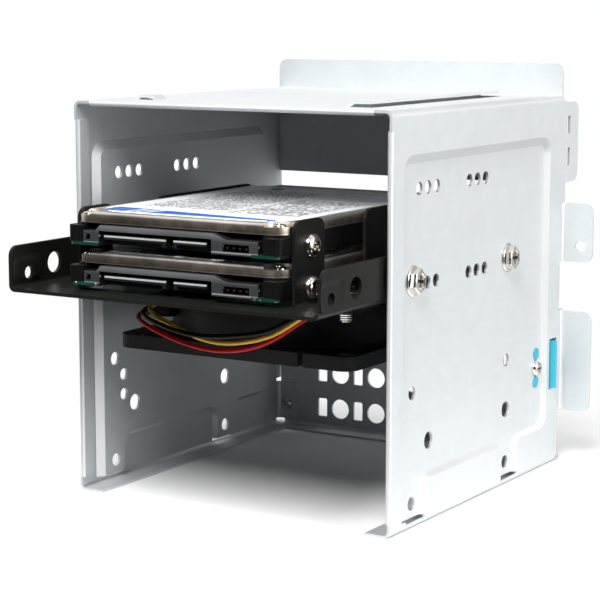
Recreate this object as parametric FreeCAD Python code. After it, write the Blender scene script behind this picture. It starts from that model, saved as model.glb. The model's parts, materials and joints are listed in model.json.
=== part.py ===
import FreeCAD, Part
import math
import os

"""Sheet-steel drive cage with a carrier tray for two slim drives, a cooling fan and a release latch.

Lengths are millimetres. While it is drawn, x is zero on the cage's middle plane, y is zero at the cage's
front edge and runs to the rear, and z is zero under the base flanges. The finished pieces are then moved so
that the origin lies under the middle of the whole assembly.
"""

V = FreeCAD.Vector

# Reach of a cutting form beyond the faces that it cuts
OVERCUT = 1.0

# Side-hole pattern of a 3.5 inch drive bay
BAY_HOLE_Y = 15.0
BAY_HOLE_SPACING = 60.0
TRAY_HOLE_SPACING = 41.6
BAY_HOLE_Z = 6.6
BAY_PITCH = 31.5
BAY_COUNT = 3
BAY_HOLE_RADIUS = 2.0

# Cage sheet
SHEET = 0.8
SHEET_BEND = 1.2
CAGE_HEIGHT = 117.0
CAGE_DEPTH = 113.0
BASE_FLANGE = 8.0
BASE_FLANGE_REAR_GAP = 9.0
HEM_DEPTH = 5.0
HEM_NOSE = 0.79
HEM_NOTCH = 5.6
HEM_FOOT = 4.0

# Recess pressed into each side wall
RECESS_DEPTH = 1.5
RECESS_SLOPE = 2.6
RECESS_CORNER = 2.4
RECESS_FRONT_MARGIN = 6.9
RECESS_REAR_MARGIN = 11.5
RECESS_TOP_MARGIN = 12.5
PAD_HEIGHT = 12.8
PAD_SLOPE = 1.3
LEG_HALF_WIDTH = 5.6
LEG_FOOT = 2.6
FOOT_SLOT_HEIGHT = 0.9

# Other holes in the side walls
RAIL_HOLE_RADIUS = 1.9
RAIL_HOLE_Y = 18.3
RAIL_HOLE_PITCH = 5.2
RAIL_HOLE_COUNT = 3
RAIL_GROUP_SPACING = 30.6
RAIL_ROW_Z = 68.2
RAIL_ROW_PITCH = 26.6
DRIVER_HOLE_RADIUS = 2.5
DRIVER_HOLE_Y = 25.0
DRIVER_HOLE_SPACING = 50.0
DRIVER_HOLE_Z = 22.9
PEG_HOLE_RADIUS = 1.8
PEG_HOLE_Y = 19.4
PEG_HOLE_Z = 26.4
PEG_HOLE_PITCH = 6.2

# Rear edge of the walls
HOOK_TAB_REACH = 9.3
HOOK_TAB_FOOT = 89.4
HOOK_TAB_HEIGHT = 25.1
HOOK_TAB_CORNER = 3.0
HOOK_SLOT_WIDTH = 2.3
HOOK_SLOT_HEIGHT = 5.7
HOOK_SLOT_INSET = 5.1
HOOK_SLOT_PITCH = 10.0
EAR_REACH = 10.0
EAR_CORNER = 3.0
UPPER_EAR_FOOT = 64.4
UPPER_EAR_HEIGHT = 18.5
LOWER_EAR_FOOT = 16.6
LOWER_EAR_HEIGHT = 31.9
EAR_HOLE_RADIUS = 1.95
EAR_HOLE_INSET = 4.0
EAR_HOLE_RISE = 5.0
RIVET_TAB_HEIGHT = 12.9
RIVET_TAB_REACH = 8.8
RIVET_TAB_CORNER = 2.5
RIVET_TAB_FEET = (2.3, 50.3)
RELIEF = 1.2
FOLD_ROOM = 3.6

# Roof
LOUVER_X = 33.0
LOUVER_WIDTH = 8.0
LOUVER_FRONT = 10.0
LOUVER_LENGTH = 80.0
LOUVER_RISE = 1.7
LOUVER_RAMP = 3.0
LOUVER_SIDE_GAP = 0.5
BRIDGE_X = -38.0
BRIDGE_WIDTH = 7.4
BRIDGE_FRONT = 15.0
BRIDGE_LENGTH = 5.0
BRIDGE_RISE = 1.4

# Rear panels and their rivets
UPPER_PANEL_SIDE_GAP = 0.1
LOWER_PANEL_SIDE_GAP = 0.45
PANEL_REAR_INSET = 0.6
LIP_HEIGHT = 9.5
LIP_CORNER = 3.0
UPPER_PANEL_HEIGHT = 28.3
LOWER_PANEL_HEIGHT = 64.0
LOWER_PANEL_FLANGE = 8.0
LOWER_PANEL_NOTCH = 1.6
VENT_PITCH = 7.0
VENT_SIDE_COUNT = 5
VENT_ROW_Z = 7.6
VENT_ROW_PITCH = 12.2
VENT_ROWS = 4
VENT_RADIUS = 3.35
VENT_SLOT_WIDTH = 3.5
VENT_SLOT_HEIGHT = 6.3
VENT_SLOT_CORNER = 0.6
RIVET_RADIUS = 1.5
RIVET_HEAD_RADIUS = 2.2
RIVET_HEAD_HEIGHT = 0.9
RIVET_TAIL_HEIGHT = 0.6
RIVET_INSET = 4.3
RIVET_RISE = 5.4

# Carrier tray
TRAY_WIDTH = 101.6
TRAY_SHEET = 1.0
TRAY_BEND = 0.8
TRAY_SIDE_CLEARANCE = 0.15
TRAY_FLANGE_HEIGHT = 12.85
TRAY_HOLE_RISE = 4.75
TRAY_FRONT_INSET = 7.2
TRAY_REAR_INSET = 9.0
TRAY_CORNER = 3.0
TRAY_RIGHT_SETBACK = 1.8
TRAY_PAD_DEPTH = 0.4
TRAY_PAD_SLOPE = 1.6
TRAY_PAD_AHEAD = 6.6
TRAY_PAD_BEHIND = 6.4
TRAY_PAD_ABOVE = 5.2
TRAY_PAD_BELOW = 2.8
TRAY_PAD_CORNER = 1.2
ACCESS_HOLE_RADIUS = 3.05
ACCESS_HOLE_AHEAD = 1.6
ACCESS_HOLE_ABOVE = 1.1
GAUGE_HOLE_RADIUS = 1.5
GAUGE_HOLE_X = 12.3
UPRIGHT_GAP = 0.075
UPRIGHT_RISE = 0.5
UPRIGHT_CORNER = 3.0
FRONT_UPRIGHT_AHEAD = 8.0
FRONT_UPRIGHT_BEHIND = 7.0
REAR_UPRIGHT_AHEAD = 47.2
REAR_UPRIGHT_BEHIND = 4.4

# Screws
THREAD_CLEARANCE = 0.05
DOME_SHARE = 0.8
BAY_SCREW_RADIUS = 1.75
BAY_WASHER_RADIUS = 4.4
BAY_WASHER_HEIGHT = 0.8
BAY_HEX_FLATS = 6.35
BAY_HEX_HEIGHT = 1.9
BAY_SCREW_REACH = 2.5
DRIVE_SCREW_RADIUS = 1.45
DRIVE_SCREW_HEAD_RADIUS = 3.3
DRIVE_SCREW_HEAD_HEIGHT = 1.9
DRIVE_SCREW_LENGTH = 3.6
FAN_SCREW_RADIUS = 2.1
FAN_SCREW_HEAD_RADIUS = 3.3
FAN_SCREW_HEAD_HEIGHT = 1.0
FAN_SCREW_TIP = 2.8

# Slim drives
DRIVE_WIDTH = 69.85
DRIVE_LENGTH = 100.2
DRIVE_HEIGHT = 9.5
DRIVE_LIFT = 1.25
DRIVE_PITCH = 11.3
DRIVE_FRONT_INSET = 6.8
DRIVE_HOLE_Z = 3.0
DRIVE_HOLE_INSET = 14.0
DRIVE_HOLE_SPACING = 76.6
DRIVE_HOLE_RADIUS = 1.5
BOARD_RISE = 0.4
BOARD_THICKNESS = 0.9
BOARD_SIDE_INSET = 0.5
BOARD_LENGTH = 67.0
BOARD_CORNER = 1.5
NOTCH_GAP = 0.1
CASE_SETBACK = 2.0
CASE_CORNER = 3.0
CASE_FRONT_CORNER = 5.5
POST_WIDTH = 5.2
POST_HEIGHT = 4.5
POST_CORNER = 1.5
COVER_HEIGHT = 3.0
COVER_INSET = 0.5
COVER_SHEET = 0.8
COVER_EDGE = 0.9
COVER_SCREW_INSET = 3.6
COVER_SCREW_RADIUS = 0.9
COVER_SCREW_HEAD_RADIUS = 1.9
COVER_SCREW_HEAD_HEIGHT = 0.7
COVER_DIMPLE_RADIUS = 4.4
COVER_DIMPLE_DEPTH = 1.0
COVER_SCREW_LENGTH = 3.6
LABEL_THICKNESS = 0.1
LABEL_FRONT_INSET = 3.5
LABEL_SIDE_INSET = 3.0
LABEL_REAR_INSET = 9.0
LABEL_CORNER = 3.0
LABEL_FRONT_CORNER = 12.0
CAVITY_FLOOR = 2.6
PLATTER_RADIUS = 32.5
PLATTER_REAR_INSET = 36.7
PLATTER_CLEARANCE = 0.8
PLATTER_THICKNESS = 0.6
PLATTER_FEET = (0.9, 2.5)
HUB_RADIUS = 10.0
HUB_HEIGHT = 3.0
HUB_LIFT = 0.3
POST_RADIUS = 2.0
RUNNING_CLEARANCE = 0.05
PIVOT_X = 17.0
PIVOT_AHEAD = 39.0
ARM_LENGTH = 38.0
ARM_PARK_ANGLE = 164.0
ARM_ROOT_HALF_WIDTH = 3.6
ARM_TIP_HALF_WIDTH = 1.2
ARM_THICKNESS = 0.4
ARM_FOOT = 1.7
ARM_BOSS_RADIUS = 4.6
COIL_REACH = 10.8
COIL_HALF_ANGLE = 22.0
COIL_THICKNESS = 1.0
COIL_FOOT = 1.5
ARM_ROOM_LEFT = 26.0
ARM_ROOM_RIGHT = 30.6
ARM_ROOM_AHEAD = 12.0
ARM_ROOM_BEHIND = 17.0
MAGNET_HEIGHT = 0.9
MAGNET_WIDTH = 7.6
MAGNET_LENGTH = 9.0

# Drive connector, measured across the drive from its middle
PLUG_LEFT = -29.4
PLUG_RIGHT = 28.2
PLUG_DEPTH = 6.0
PLUG_TOP = 4.85
PLUG_STEP_TOP = 3.4
PLUG_SIDE_TOP = 3.2
PLUG_SHOULDER_LEFT = -25.4
PLUG_TOP_LEFT = -23.7
PLUG_TOP_RIGHT = 13.5
PLUG_STEP = 17.9
PLUG_MOUTH_DEPTH = 4.8
PLUG_WALL = 0.7
PLUG_GAP = 0.3
MOUTH_LEFT = -24.2
MOUTH_RIGHT = 13.4
MOUTH_TOP = 3.3
JUMPER_LEFT = 17.0
JUMPER_RIGHT = 25.4
JUMPER_FOOT = 0.15
JUMPER_TOP = 2.3
JUMPER_DROP = 0.6
EAR_WINDOW = 1.6
EAR_WINDOW_DEPTH = 2.0
POWER_TONGUE = (-22.6, -1.8)
SIGNAL_TONGUE = (0.8, 11.5)
TONGUE_FOOT = 1.0
TONGUE_THICKNESS = 1.1
TONGUE_TIP_INSET = 0.4
KEY_WIDTH = 1.1
KEY_DROP = 1.0
CONTACT_PITCH = 1.27
POWER_CONTACTS = 15
SIGNAL_CONTACTS = 7
CONTACT_WIDTH = 0.8
CONTACT_THICKNESS = 0.1
CONTACT_TIP_INSET = 1.6
PIN_COUNT = 4
PIN_PITCH = 2.0
PIN_WIDTH = 0.5
PIN_TIP_INSET = 0.6

# Fan
FAN_SIZE = 80.0
FAN_THICKNESS = 20.0
FAN_HOLE_INSET = 4.25
FAN_CORNER = 4.5
FAN_FRONT_INSET = 35.3
FAN_FLANGE = 4.0
FAN_WALL = 1.4
FAN_SIDE_LAND = 0.8
MOTOR_PLATE_RADIUS = 16.5
MOTOR_PLATE_DROP = 0.8
MOTOR_PLATE_THICKNESS = 1.8
STRUT_COUNT = 4
STRUT_WIDTH = 4.0
STRUT_ANGLE = 20.0
BEARING_TUBE_WALL = 1.2
BEARING_TUBE_LENGTH = 11.2
BEARING_RADIUS = 3.0
BEARING_LENGTH = 10.0
SHAFT_RADIUS = 1.5
SHAFT_TOP_GAP = 0.6
LEAD_NOTCH_X = 23.5
LEAD_NOTCH_WIDTH = 1.6
LEAD_NOTCH_DEPTH = 3.0
FAN_BOARD_RADIUS = 13.0
FAN_BOARD_THICKNESS = 1.0
POLE_COUNT = 4
POLE_RADIUS = 13.0
POLE_SHOE = 1.4
POLE_SHOE_HALF_ANGLE = 34.0
POLE_WIDTH = 3.4
STATOR_RING = 1.8
STATOR_HEIGHT = 5.0
STATOR_DROP = 3.4
COIL_WIDTH = 7.0
COIL_OVERHANG = 1.2
MAGNET_GAP = 0.6
MAGNET_WALL = 1.0
HUB_WALL = 1.2
HUB_FLOOR = 1.6
HUB_BOTTOM_INSET = 1.4
HUB_TOP_GAP = 1.5
SHAFT_BOSS_WALL = 1.6
SHAFT_BOSS_HEIGHT = 2.2
BLADE_COUNT = 7
BLADE_TIP_GAP = 1.2
BLADE_THICKNESS = 1.2
BLADE_ROOT_CHORD = 17.0
BLADE_TIP_CHORD = 23.0
BLADE_ROOT_PITCH = 44.0
BLADE_TIP_PITCH = 30.0
BLADE_SINK = 1.0

# Fan lead: three wires from a boss on the frame to a three-pin connector
WIRE_RADIUS = 0.7
WIRE_ARC_SHARE = 0.45
LEAD_BOSS_SETBACK = 7.5
LEAD_BOSS_INSET = 5.8
LEAD_BOSS_WIDTH = 8.0
LEAD_BOSS_DROP = 4.95
LEAD_BOSS_HEIGHT = 6.1
SOCKET_PITCH = 2.54
SOCKET_WIDTH = 7.8
SOCKET_HEIGHT = 5.0
SOCKET_LENGTH = 11.0
SOCKET_REAR_INSET = 1.0
SOCKET_SIDE_INSET = 0.1
SOCKET_MOUTH = 1.2
SOCKET_MOUTH_DEPTH = 8.0
WIRE_ROUTES = {
    "yellow": [
        (-27.6, 9.0, 58.4), (-27.6, 4.6, 58.4), (-27.0, -0.4, 57.8), (-22.7, -3.0, 56.1), (-17.0, -4.2, 54.6),
        (-12.6, -4.8, 53.3), (-5.2, -5.2, 51.2), (2.2, -5.4, 50.6), (9.6, -5.4, 51.6), (15.7, -5.3, 53.2),
        (20.1, -5.1, 55.0), (24.0, -4.9, 57.4), (28.0, -4.5, 60.2), (33.6, -3.3, 62.6), (40.2, -1.4, 63.5),
        (44.0, 5.8, 63.7), (44.4, 16.0, 63.4), (44.3, 27.0, 60.8), (43.8, 38.0, 57.4), (43.0, 50.0, 54.8),
        (41.4, 60.0, 52.7), (38.54, 65.8, 51.35), (38.54, 69.5, 51.35),
    ],
    "black": [
        (-30.2, 9.0, 57.0), (-30.2, 5.0, 57.0), (-29.6, 0.0, 56.5), (-24.9, -4.0, 55.3), (-19.3, -5.6, 54.3),
        (-13.0, -6.6, 53.1), (-6.0, -7.1, 52.4), (0.7, -7.2, 52.6), (7.3, -7.1, 53.5), (13.4, -7.0, 54.4),
        (18.5, -6.8, 55.7), (22.8, -6.5, 57.8), (31.4, -5.4, 62.4), (41.2, -3.2, 63.8), (46.0, 5.0, 63.8),
        (46.4, 16.0, 63.5), (46.2, 28.0, 61.6), (45.6, 39.0, 59.2), (43.6, 50.0, 57.2), (39.0, 59.4, 53.6),
        (36.0, 65.2, 51.35), (36.0, 69.5, 51.35),
    ],
    "red": [
        (-32.8, 9.0, 55.6), (-32.8, 5.2, 55.6), (-31.4, 0.2, 54.6), (-27.6, -2.2, 53.5), (-22.6, -3.2, 52.0),
        (-16.7, -3.6, 50.3), (-10.7, -3.6, 48.9), (-4.7, -3.6, 48.1), (1.1, -3.6, 48.1), (6.9, -3.6, 48.9),
        (12.6, -3.5, 50.4), (18.0, -3.3, 52.8), (22.2, -3.1, 55.5), (26.2, -2.7, 58.4), (31.6, -1.6, 61.4),
        (38.0, -0.4, 63.0), (41.7, 5.0, 63.6), (41.9, 15.0, 63.4), (41.9, 25.0, 59.8), (42.0, 34.0, 56.2),
        (42.2, 43.0, 53.4), (41.0, 52.2, 51.9), (37.2, 60.8, 51.4), (33.46, 65.4, 51.35),
        (33.46, 69.5, 51.35),
    ],
}

# Release latch on the right wall
LATCH_PIN_Y = 96.2
LATCH_PIN_RADIUS = 1.75
LATCH_PIN_CLEARANCE = 0.05
LATCH_PIN_PROUD = 0.4
LATCH_SCREW_Z = 32.4
LATCH_PIN_OFFSET = 4.5
LATCH_SCREW_RADIUS = 1.4
LATCH_SCREW_HEAD_RADIUS = 2.6
LATCH_SCREW_HEAD_HEIGHT = 1.6
LATCH_SCREW_BITE = 1.9
LATCH_THICKNESS = 2.2
LATCH_BASE_AHEAD = 3.2
LATCH_BASE_BEHIND = 2.3
LATCH_BASE_HEIGHT = 17.0
LATCH_WEB = 0.6
LATCH_WEB_LENGTH = 0.9
LATCH_WEB_GAP = 0.3
LATCH_ARM_THICKNESS = 1.8
LATCH_ARM_LENGTH = 10.4
LATCH_BAR_FRONT = 104.1
LATCH_BAR_LENGTH = 0.9
LATCH_BAR_HEIGHT = 15.1
LATCH_BAR_PROUD = 2.0
LATCH_BAR_EDGE = 0.25
LATCH_SLOT_AHEAD = 0.7
LATCH_SLOT_BEHIND = 3.5
LATCH_SLOT_SIDE = 0.5

# Places worked out from the sizes above
CAGE_WIDTH = TRAY_WIDTH + 2 * (TRAY_SIDE_CLEARANCE + SHEET + RECESS_DEPTH)
WALL_X = CAGE_WIDTH / 2
WALL_INSIDE = WALL_X - SHEET
RECESS_FACE = WALL_X - RECESS_DEPTH
RECESS_INSIDE = RECESS_FACE - SHEET
BAY_HOLES_Y = (BAY_HOLE_Y, BAY_HOLE_Y + BAY_HOLE_SPACING)
TRAY_BAY_Z = BAY_HOLE_Z + (BAY_COUNT - 1) * BAY_PITCH
PANEL_REAR = CAGE_DEPTH - PANEL_REAR_INSET
PANEL_FRONT = PANEL_REAR - SHEET
UPPER_PANEL_HALF_WIDTH = WALL_INSIDE - UPPER_PANEL_SIDE_GAP
LOWER_PANEL_HALF_WIDTH = WALL_INSIDE - LOWER_PANEL_SIDE_GAP
RIVET_X = WALL_INSIDE - RIVET_INSET + SHEET
RIVETS_Z = [foot + RIVET_RISE for foot in RIVET_TAB_FEET]
TRAY_BOTTOM = TRAY_BAY_Z - TRAY_HOLE_RISE
TRAY_TOP = TRAY_BOTTOM + TRAY_SHEET
TRAY_SPARE_HOLE_Y = BAY_HOLE_Y - TRAY_HOLE_SPACING
TRAY_FRONT = TRAY_SPARE_HOLE_Y - TRAY_FRONT_INSET
TRAY_REAR = BAY_HOLES_Y[1] + TRAY_REAR_INSET
TRAY_HOLES_Y = (TRAY_SPARE_HOLE_Y, *BAY_HOLES_Y)
DRIVE_FRONT = TRAY_FRONT + DRIVE_FRONT_INSET
DRIVE_REAR = DRIVE_FRONT + DRIVE_LENGTH
DRIVE_BOTTOMS = {"lower": TRAY_TOP + DRIVE_LIFT, "upper": TRAY_TOP + DRIVE_LIFT + DRIVE_PITCH}
DRIVE_HOLES_Y = (DRIVE_FRONT + DRIVE_HOLE_INSET, DRIVE_FRONT + DRIVE_HOLE_INSET + DRIVE_HOLE_SPACING)
UPRIGHT_X = DRIVE_WIDTH / 2 + UPRIGHT_GAP
UPRIGHT_TOP = DRIVE_BOTTOMS["upper"] + DRIVE_HEIGHT + UPRIGHT_RISE
UPRIGHTS_Y = (
    (DRIVE_HOLES_Y[0] - FRONT_UPRIGHT_AHEAD, DRIVE_HOLES_Y[0] + FRONT_UPRIGHT_BEHIND),
    (DRIVE_HOLES_Y[1] - REAR_UPRIGHT_AHEAD, DRIVE_HOLES_Y[1] + REAR_UPRIGHT_BEHIND),
)
FAN_Y = TRAY_FRONT + FAN_FRONT_INSET + FAN_SIZE / 2
FAN_TOP = TRAY_BOTTOM
FAN_BOTTOM = FAN_TOP - FAN_THICKNESS
FAN_RING_RADIUS = FAN_SIZE / 2 - FAN_SIDE_LAND
FAN_BORE = FAN_RING_RADIUS - FAN_WALL
FAN_HOLE_REACH = FAN_SIZE / 2 - FAN_HOLE_INSET
FAN_HOLES = [(x * FAN_HOLE_REACH, FAN_Y + y * FAN_HOLE_REACH) for x in (-1, 1) for y in (-1, 1)]
LEAD_BOSS_FACE = FAN_Y - FAN_SIZE / 2 + LEAD_BOSS_SETBACK
LEAD_BOSS_LEFT = LEAD_BOSS_INSET - FAN_SIZE / 2
LEAD_BOSS_TOP = FAN_TOP - LEAD_BOSS_DROP
SOCKET_X = FAN_SIZE / 2 - SOCKET_SIDE_INSET - SOCKET_WIDTH / 2
SOCKET_FRONT = FAN_Y + FAN_SIZE / 2 - SOCKET_REAR_INSET - SOCKET_LENGTH
MOTOR_PLATE_BOTTOM = FAN_TOP - MOTOR_PLATE_DROP - MOTOR_PLATE_THICKNESS
BEARING_TUBE_RADIUS = BEARING_RADIUS + BEARING_TUBE_WALL
MAGNET_INSIDE = POLE_RADIUS + MAGNET_GAP
HUB_INSIDE = MAGNET_INSIDE + MAGNET_WALL
HUB_OUTSIDE = HUB_INSIDE + HUB_WALL
HUB_BOTTOM = FAN_BOTTOM + HUB_BOTTOM_INSET
HUB_TOP = MOTOR_PLATE_BOTTOM - HUB_TOP_GAP
LATCH_BASE_REAR = LATCH_PIN_Y + LATCH_BASE_BEHIND
LATCH_HINGE_Y = LATCH_BASE_REAR + LATCH_WEB_LENGTH + LATCH_WEB_GAP / 2
LATCH_HINGE_X = RECESS_INSIDE - LATCH_THICKNESS / 2
LATCH_ARM_FRONT = LATCH_HINGE_Y + LATCH_WEB_GAP / 2 + LATCH_WEB_LENGTH
LATCH_PINS_Z = (LATCH_SCREW_Z - LATCH_PIN_OFFSET, LATCH_SCREW_Z + LATCH_PIN_OFFSET)
REACH_LEFT = RECESS_FACE + BAY_WASHER_HEIGHT + BAY_HEX_HEIGHT
REACH_RIGHT = WALL_X + EAR_REACH
REACH_REAR = CAGE_DEPTH + HOOK_TAB_REACH
ORIGIN = V((REACH_RIGHT - REACH_LEFT) / 2, (TRAY_FRONT + REACH_REAR) / 2, 0)


# Drawing helpers

def on_xy(z):
    return lambda a, b: V(a, b, z)


def on_xz(y):
    return lambda a, b: V(a, y, b)


def on_yz(x):
    return lambda a, b: V(x, a, b)


def box(x, y, z):
    """Block between pairs of limits."""
    return Part.makeBox(x[1] - x[0], y[1] - y[0], z[1] - z[0], V(x[0], y[0], z[0]))


def rod(start, end, radius):
    axis = end - start
    return Part.makeCylinder(radius, axis.Length, start, axis)


def rectangle(a, b):
    return [(a[0], b[0]), (a[1], b[0]), (a[1], b[1]), (a[0], b[1])]


def outline(points, radii, place):
    """Closed wire through flat points, with each corner rounded to its own radius."""
    corners = [place(*point) for point in points]
    if not isinstance(radii, (list, tuple)):
        radii = [radii] * len(corners)
    entries = []
    exits = []
    edges = []
    for index, corner in enumerate(corners):
        back = (corners[index - 1] - corner).normalize()
        ahead = (corners[(index + 1) % len(corners)] - corner).normalize()
        half = back.getAngle(ahead) / 2
        reach = radii[index] / math.tan(half)
        entries.append(corner + back * reach)
        exits.append(corner + ahead * reach)
        if radii[index] > 0:
            middle = (back + ahead).normalize() * (radii[index] / math.sin(half) - radii[index])
            edges.append(Part.Arc(entries[-1], corner + middle, exits[-1]).toShape())
    for index, leaving in enumerate(exits):
        arriving = entries[(index + 1) % len(entries)]
        if (arriving - leaving).Length > 1e-6:
            edges.append(Part.LineSegment(leaving, arriving).toShape())
    return Part.Wire(Part.__sortEdges__(edges))


def slab(points, radii, place, travel):
    return Part.Face(outline(points, radii, place)).extrude(travel)


def turned(points, radii, base, axis):
    """Solid turned from an outline of (radius, height) points, set on base along axis."""
    solid = Part.Face(outline(points, radii, on_xz(0))).revolve(V(0, 0, 0), V(0, 0, 1), 360)
    solid.Placement = FreeCAD.Placement(base, FreeCAD.Rotation(V(0, 0, 1), axis))
    return solid


def folded_strip(path, sheet, bend):
    """Section of a folded sheet: outside path, all folds to its right, and the radii of its corners."""
    normals = []
    for start, end in zip(path, path[1:]):
        length = math.hypot(end[0] - start[0], end[1] - start[1])
        normals.append(((end[1] - start[1]) / length, (start[0] - end[0]) / length))
    inside = []
    for index, (a, b) in enumerate(path):
        before = normals[max(index - 1, 0)]
        after = normals[min(index, len(normals) - 1)]
        share = sheet / (1 + before[0] * after[0] + before[1] * after[1])
        inside.append((a + (before[0] + after[0]) * share, b + (before[1] + after[1]) * share))
    folds = len(path) - 2
    radii = [0] + [bend + sheet] * folds + [0, 0] + [bend] * folds + [0]
    return path + inside[::-1], radii


def pressed(wall, shape_at, face, inward, sheet, depth, slope):
    """Presses an area of a wall inwards: shape_at(inset) gives its outline, face is the wall's outside."""
    def form(start):
        wide = outline(*shape_at(0), on_yz(start))
        narrow = outline(*shape_at(slope), on_yz(start + inward * depth))
        return Part.makeLoft([wide, narrow], True, True)
    return wall.fuse(form(face + inward * sheet)).cut(form(face))


def pan_screw(seat, outward, head_radius, head_height, radius, length):
    """Screw with a domed head standing outward from its seat."""
    points = [(0, -length), (radius, -length), (radius, 0), (head_radius, 0), (head_radius, head_height)]
    points.append((0, head_height))
    return turned(points, [0, 0, 0, 0, DOME_SHARE * head_height, 0], seat, outward)


# Cage

def recess_outline(inset):
    steep = inset * PAD_SLOPE / RECESS_SLOPE
    front = RECESS_FRONT_MARGIN + inset
    rear = CAGE_DEPTH - RECESS_REAR_MARGIN - steep
    top = CAGE_HEIGHT - RECESS_TOP_MARGIN - inset
    pad = PAD_HEIGHT + steep
    leg = LEG_HALF_WIDTH - steep
    points = [
        (front, top), (rear, top), (rear, pad), (BAY_HOLES_Y[1] + leg, pad), (BAY_HOLES_Y[1] + leg, LEG_FOOT),
        (BAY_HOLES_Y[1] - leg, LEG_FOOT), (BAY_HOLES_Y[1] - leg, pad), (BAY_HOLES_Y[0] + leg, pad),
        (BAY_HOLES_Y[0] + leg, LEG_FOOT), (front, LEG_FOOT),
    ]
    out = RECESS_CORNER + RECESS_SLOPE - inset
    into = RECESS_CORNER + inset
    return points, [out, out, out, into, 0, 0, into, into, 0, 0]


def wall_holes(side):
    """Holes of one side wall as (y, z, radius)."""
    rows = [BAY_HOLE_Z + bay * BAY_PITCH for bay in range(BAY_COUNT)]
    holes = [(y, z, BAY_HOLE_RADIUS) for y in BAY_HOLES_Y for z in rows]
    for row in range(2):
        for group in range(2):
            first = 1 if row == group == 0 else 0
            for hole in range(first, RAIL_HOLE_COUNT):
                y = RAIL_HOLE_Y + group * RAIL_GROUP_SPACING + hole * RAIL_HOLE_PITCH
                holes.append((y, RAIL_ROW_Z + row * RAIL_ROW_PITCH, RAIL_HOLE_RADIUS))
    for hole in range(2):
        holes.append((DRIVER_HOLE_Y + hole * DRIVER_HOLE_SPACING, DRIVER_HOLE_Z, DRIVER_HOLE_RADIUS))
        if side < 0:
            holes.append((PEG_HOLE_Y, PEG_HOLE_Z + hole * PEG_HOLE_PITCH, PEG_HOLE_RADIUS))
    if side > 0:
        holes += [(LATCH_PIN_Y, z, LATCH_PIN_RADIUS + LATCH_PIN_CLEARANCE) for z in LATCH_PINS_Z]
        holes.append((LATCH_PIN_Y, LATCH_SCREW_Z, LATCH_SCREW_RADIUS + THREAD_CLEARANCE))
    return holes


def hem(points, length_axis, place):
    """Front edge folded back on itself, with a round nose."""
    return slab(points, [HEM_NOSE, HEM_NOSE, 0, 0], place, length_axis)


def wall_hem(side):
    nose = [(side * WALL_X, 0), (side * (WALL_X - 2 * SHEET), 0)]
    nose += [(side * (WALL_X - 2 * SHEET), HEM_DEPTH), (side * WALL_X, HEM_DEPTH)]
    return hem(nose, V(0, 0, CAGE_HEIGHT - HEM_NOTCH - HEM_FOOT), on_xy(HEM_FOOT))


def roof_hem():
    nose = [(0, CAGE_HEIGHT), (0, CAGE_HEIGHT - 2 * SHEET)]
    nose += [(HEM_DEPTH, CAGE_HEIGHT - 2 * SHEET), (HEM_DEPTH, CAGE_HEIGHT)]
    return hem(nose, V(2 * (WALL_X - HEM_NOTCH), 0, 0), on_yz(HEM_NOTCH - WALL_X))


def hem_beds():
    """Front strips of the plain sheet that the hems take the place of."""
    beds = [box((HEM_NOTCH - WALL_X, WALL_X - HEM_NOTCH), (0, SHEET), (CAGE_HEIGHT - SHEET, CAGE_HEIGHT))]
    for side in (-1, 1):
        x = sorted((side * WALL_X, side * WALL_INSIDE))
        beds.append(box(x, (0, SHEET), (HEM_FOOT, CAGE_HEIGHT - HEM_NOTCH)))
    return beds


def rear_fold(side, outward, foot, height, reach, corner):
    """Tab folded from a wall's rear edge, outwards or inwards across the rear panel."""
    start = CAGE_DEPTH - FOLD_ROOM
    if outward:
        path = [(WALL_INSIDE, start), (WALL_INSIDE, CAGE_DEPTH), (WALL_X + reach, CAGE_DEPTH)]
        ends = (WALL_INSIDE - OVERCUT, WALL_X + reach)
    else:
        path = [(RIVET_TAB_REACH - WALL_X, PANEL_FRONT), (-WALL_X, PANEL_FRONT), (-WALL_X, start)][::-1]
        ends = (RIVET_TAB_REACH - WALL_X, -WALL_X - OVERCUT)
    strip = slab(*folded_strip(path, SHEET, SHEET_BEND), on_xy(foot), V(0, 0, height))
    face = [(ends[1], foot), (ends[1], foot + height), (ends[0], foot + height), (ends[0], foot)]
    radii = [corner, corner, 0, 0] if outward else [0, 0, corner, corner]
    tab = strip.common(slab(face, radii, on_xz(0), V(0, 2 * CAGE_DEPTH, 0)))
    return tab if outward or side < 0 else tab.mirror(V(0, 0, 0), V(1, 0, 0))


def rear_fold_beds():
    """Ends of the plain walls that the folded tabs take the place of."""
    x = (WALL_INSIDE - OVERCUT, WALL_X + OVERCUT)
    y = (CAGE_DEPTH - FOLD_ROOM, CAGE_DEPTH + OVERCUT)
    ears = ((UPPER_EAR_FOOT, UPPER_EAR_HEIGHT), (LOWER_EAR_FOOT, LOWER_EAR_HEIGHT))
    beds = [box(x, y, (foot, foot + height)) for foot, height in ears]
    for foot in RIVET_TAB_FEET:
        for span in (x, (-x[1], -x[0])):
            beds.append(box(span, y, (foot - RELIEF, foot + RIVET_TAB_HEIGHT + RELIEF)))
    return beds


def hook_tab():
    """Upper end of the right wall that reaches behind the rear panel, with two slots."""
    top = HOOK_TAB_FOOT + HOOK_TAB_HEIGHT
    y = (CAGE_DEPTH - SHEET, REACH_REAR)
    corners = [0, HOOK_TAB_CORNER, HOOK_TAB_CORNER, 0]
    tab = slab(rectangle(y, (HOOK_TAB_FOOT, top)), corners, on_yz(WALL_INSIDE), V(SHEET, 0, 0))
    for slot in range(2):
        foot = HOOK_TAB_FOOT + HOOK_SLOT_INSET + slot * HOOK_SLOT_PITCH
        width = (CAGE_DEPTH + SHEET, CAGE_DEPTH + SHEET + HOOK_SLOT_WIDTH)
        tab = tab.cut(box((WALL_INSIDE - OVERCUT, WALL_X + OVERCUT), width, (foot, foot + HOOK_SLOT_HEIGHT)))
    return tab


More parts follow.
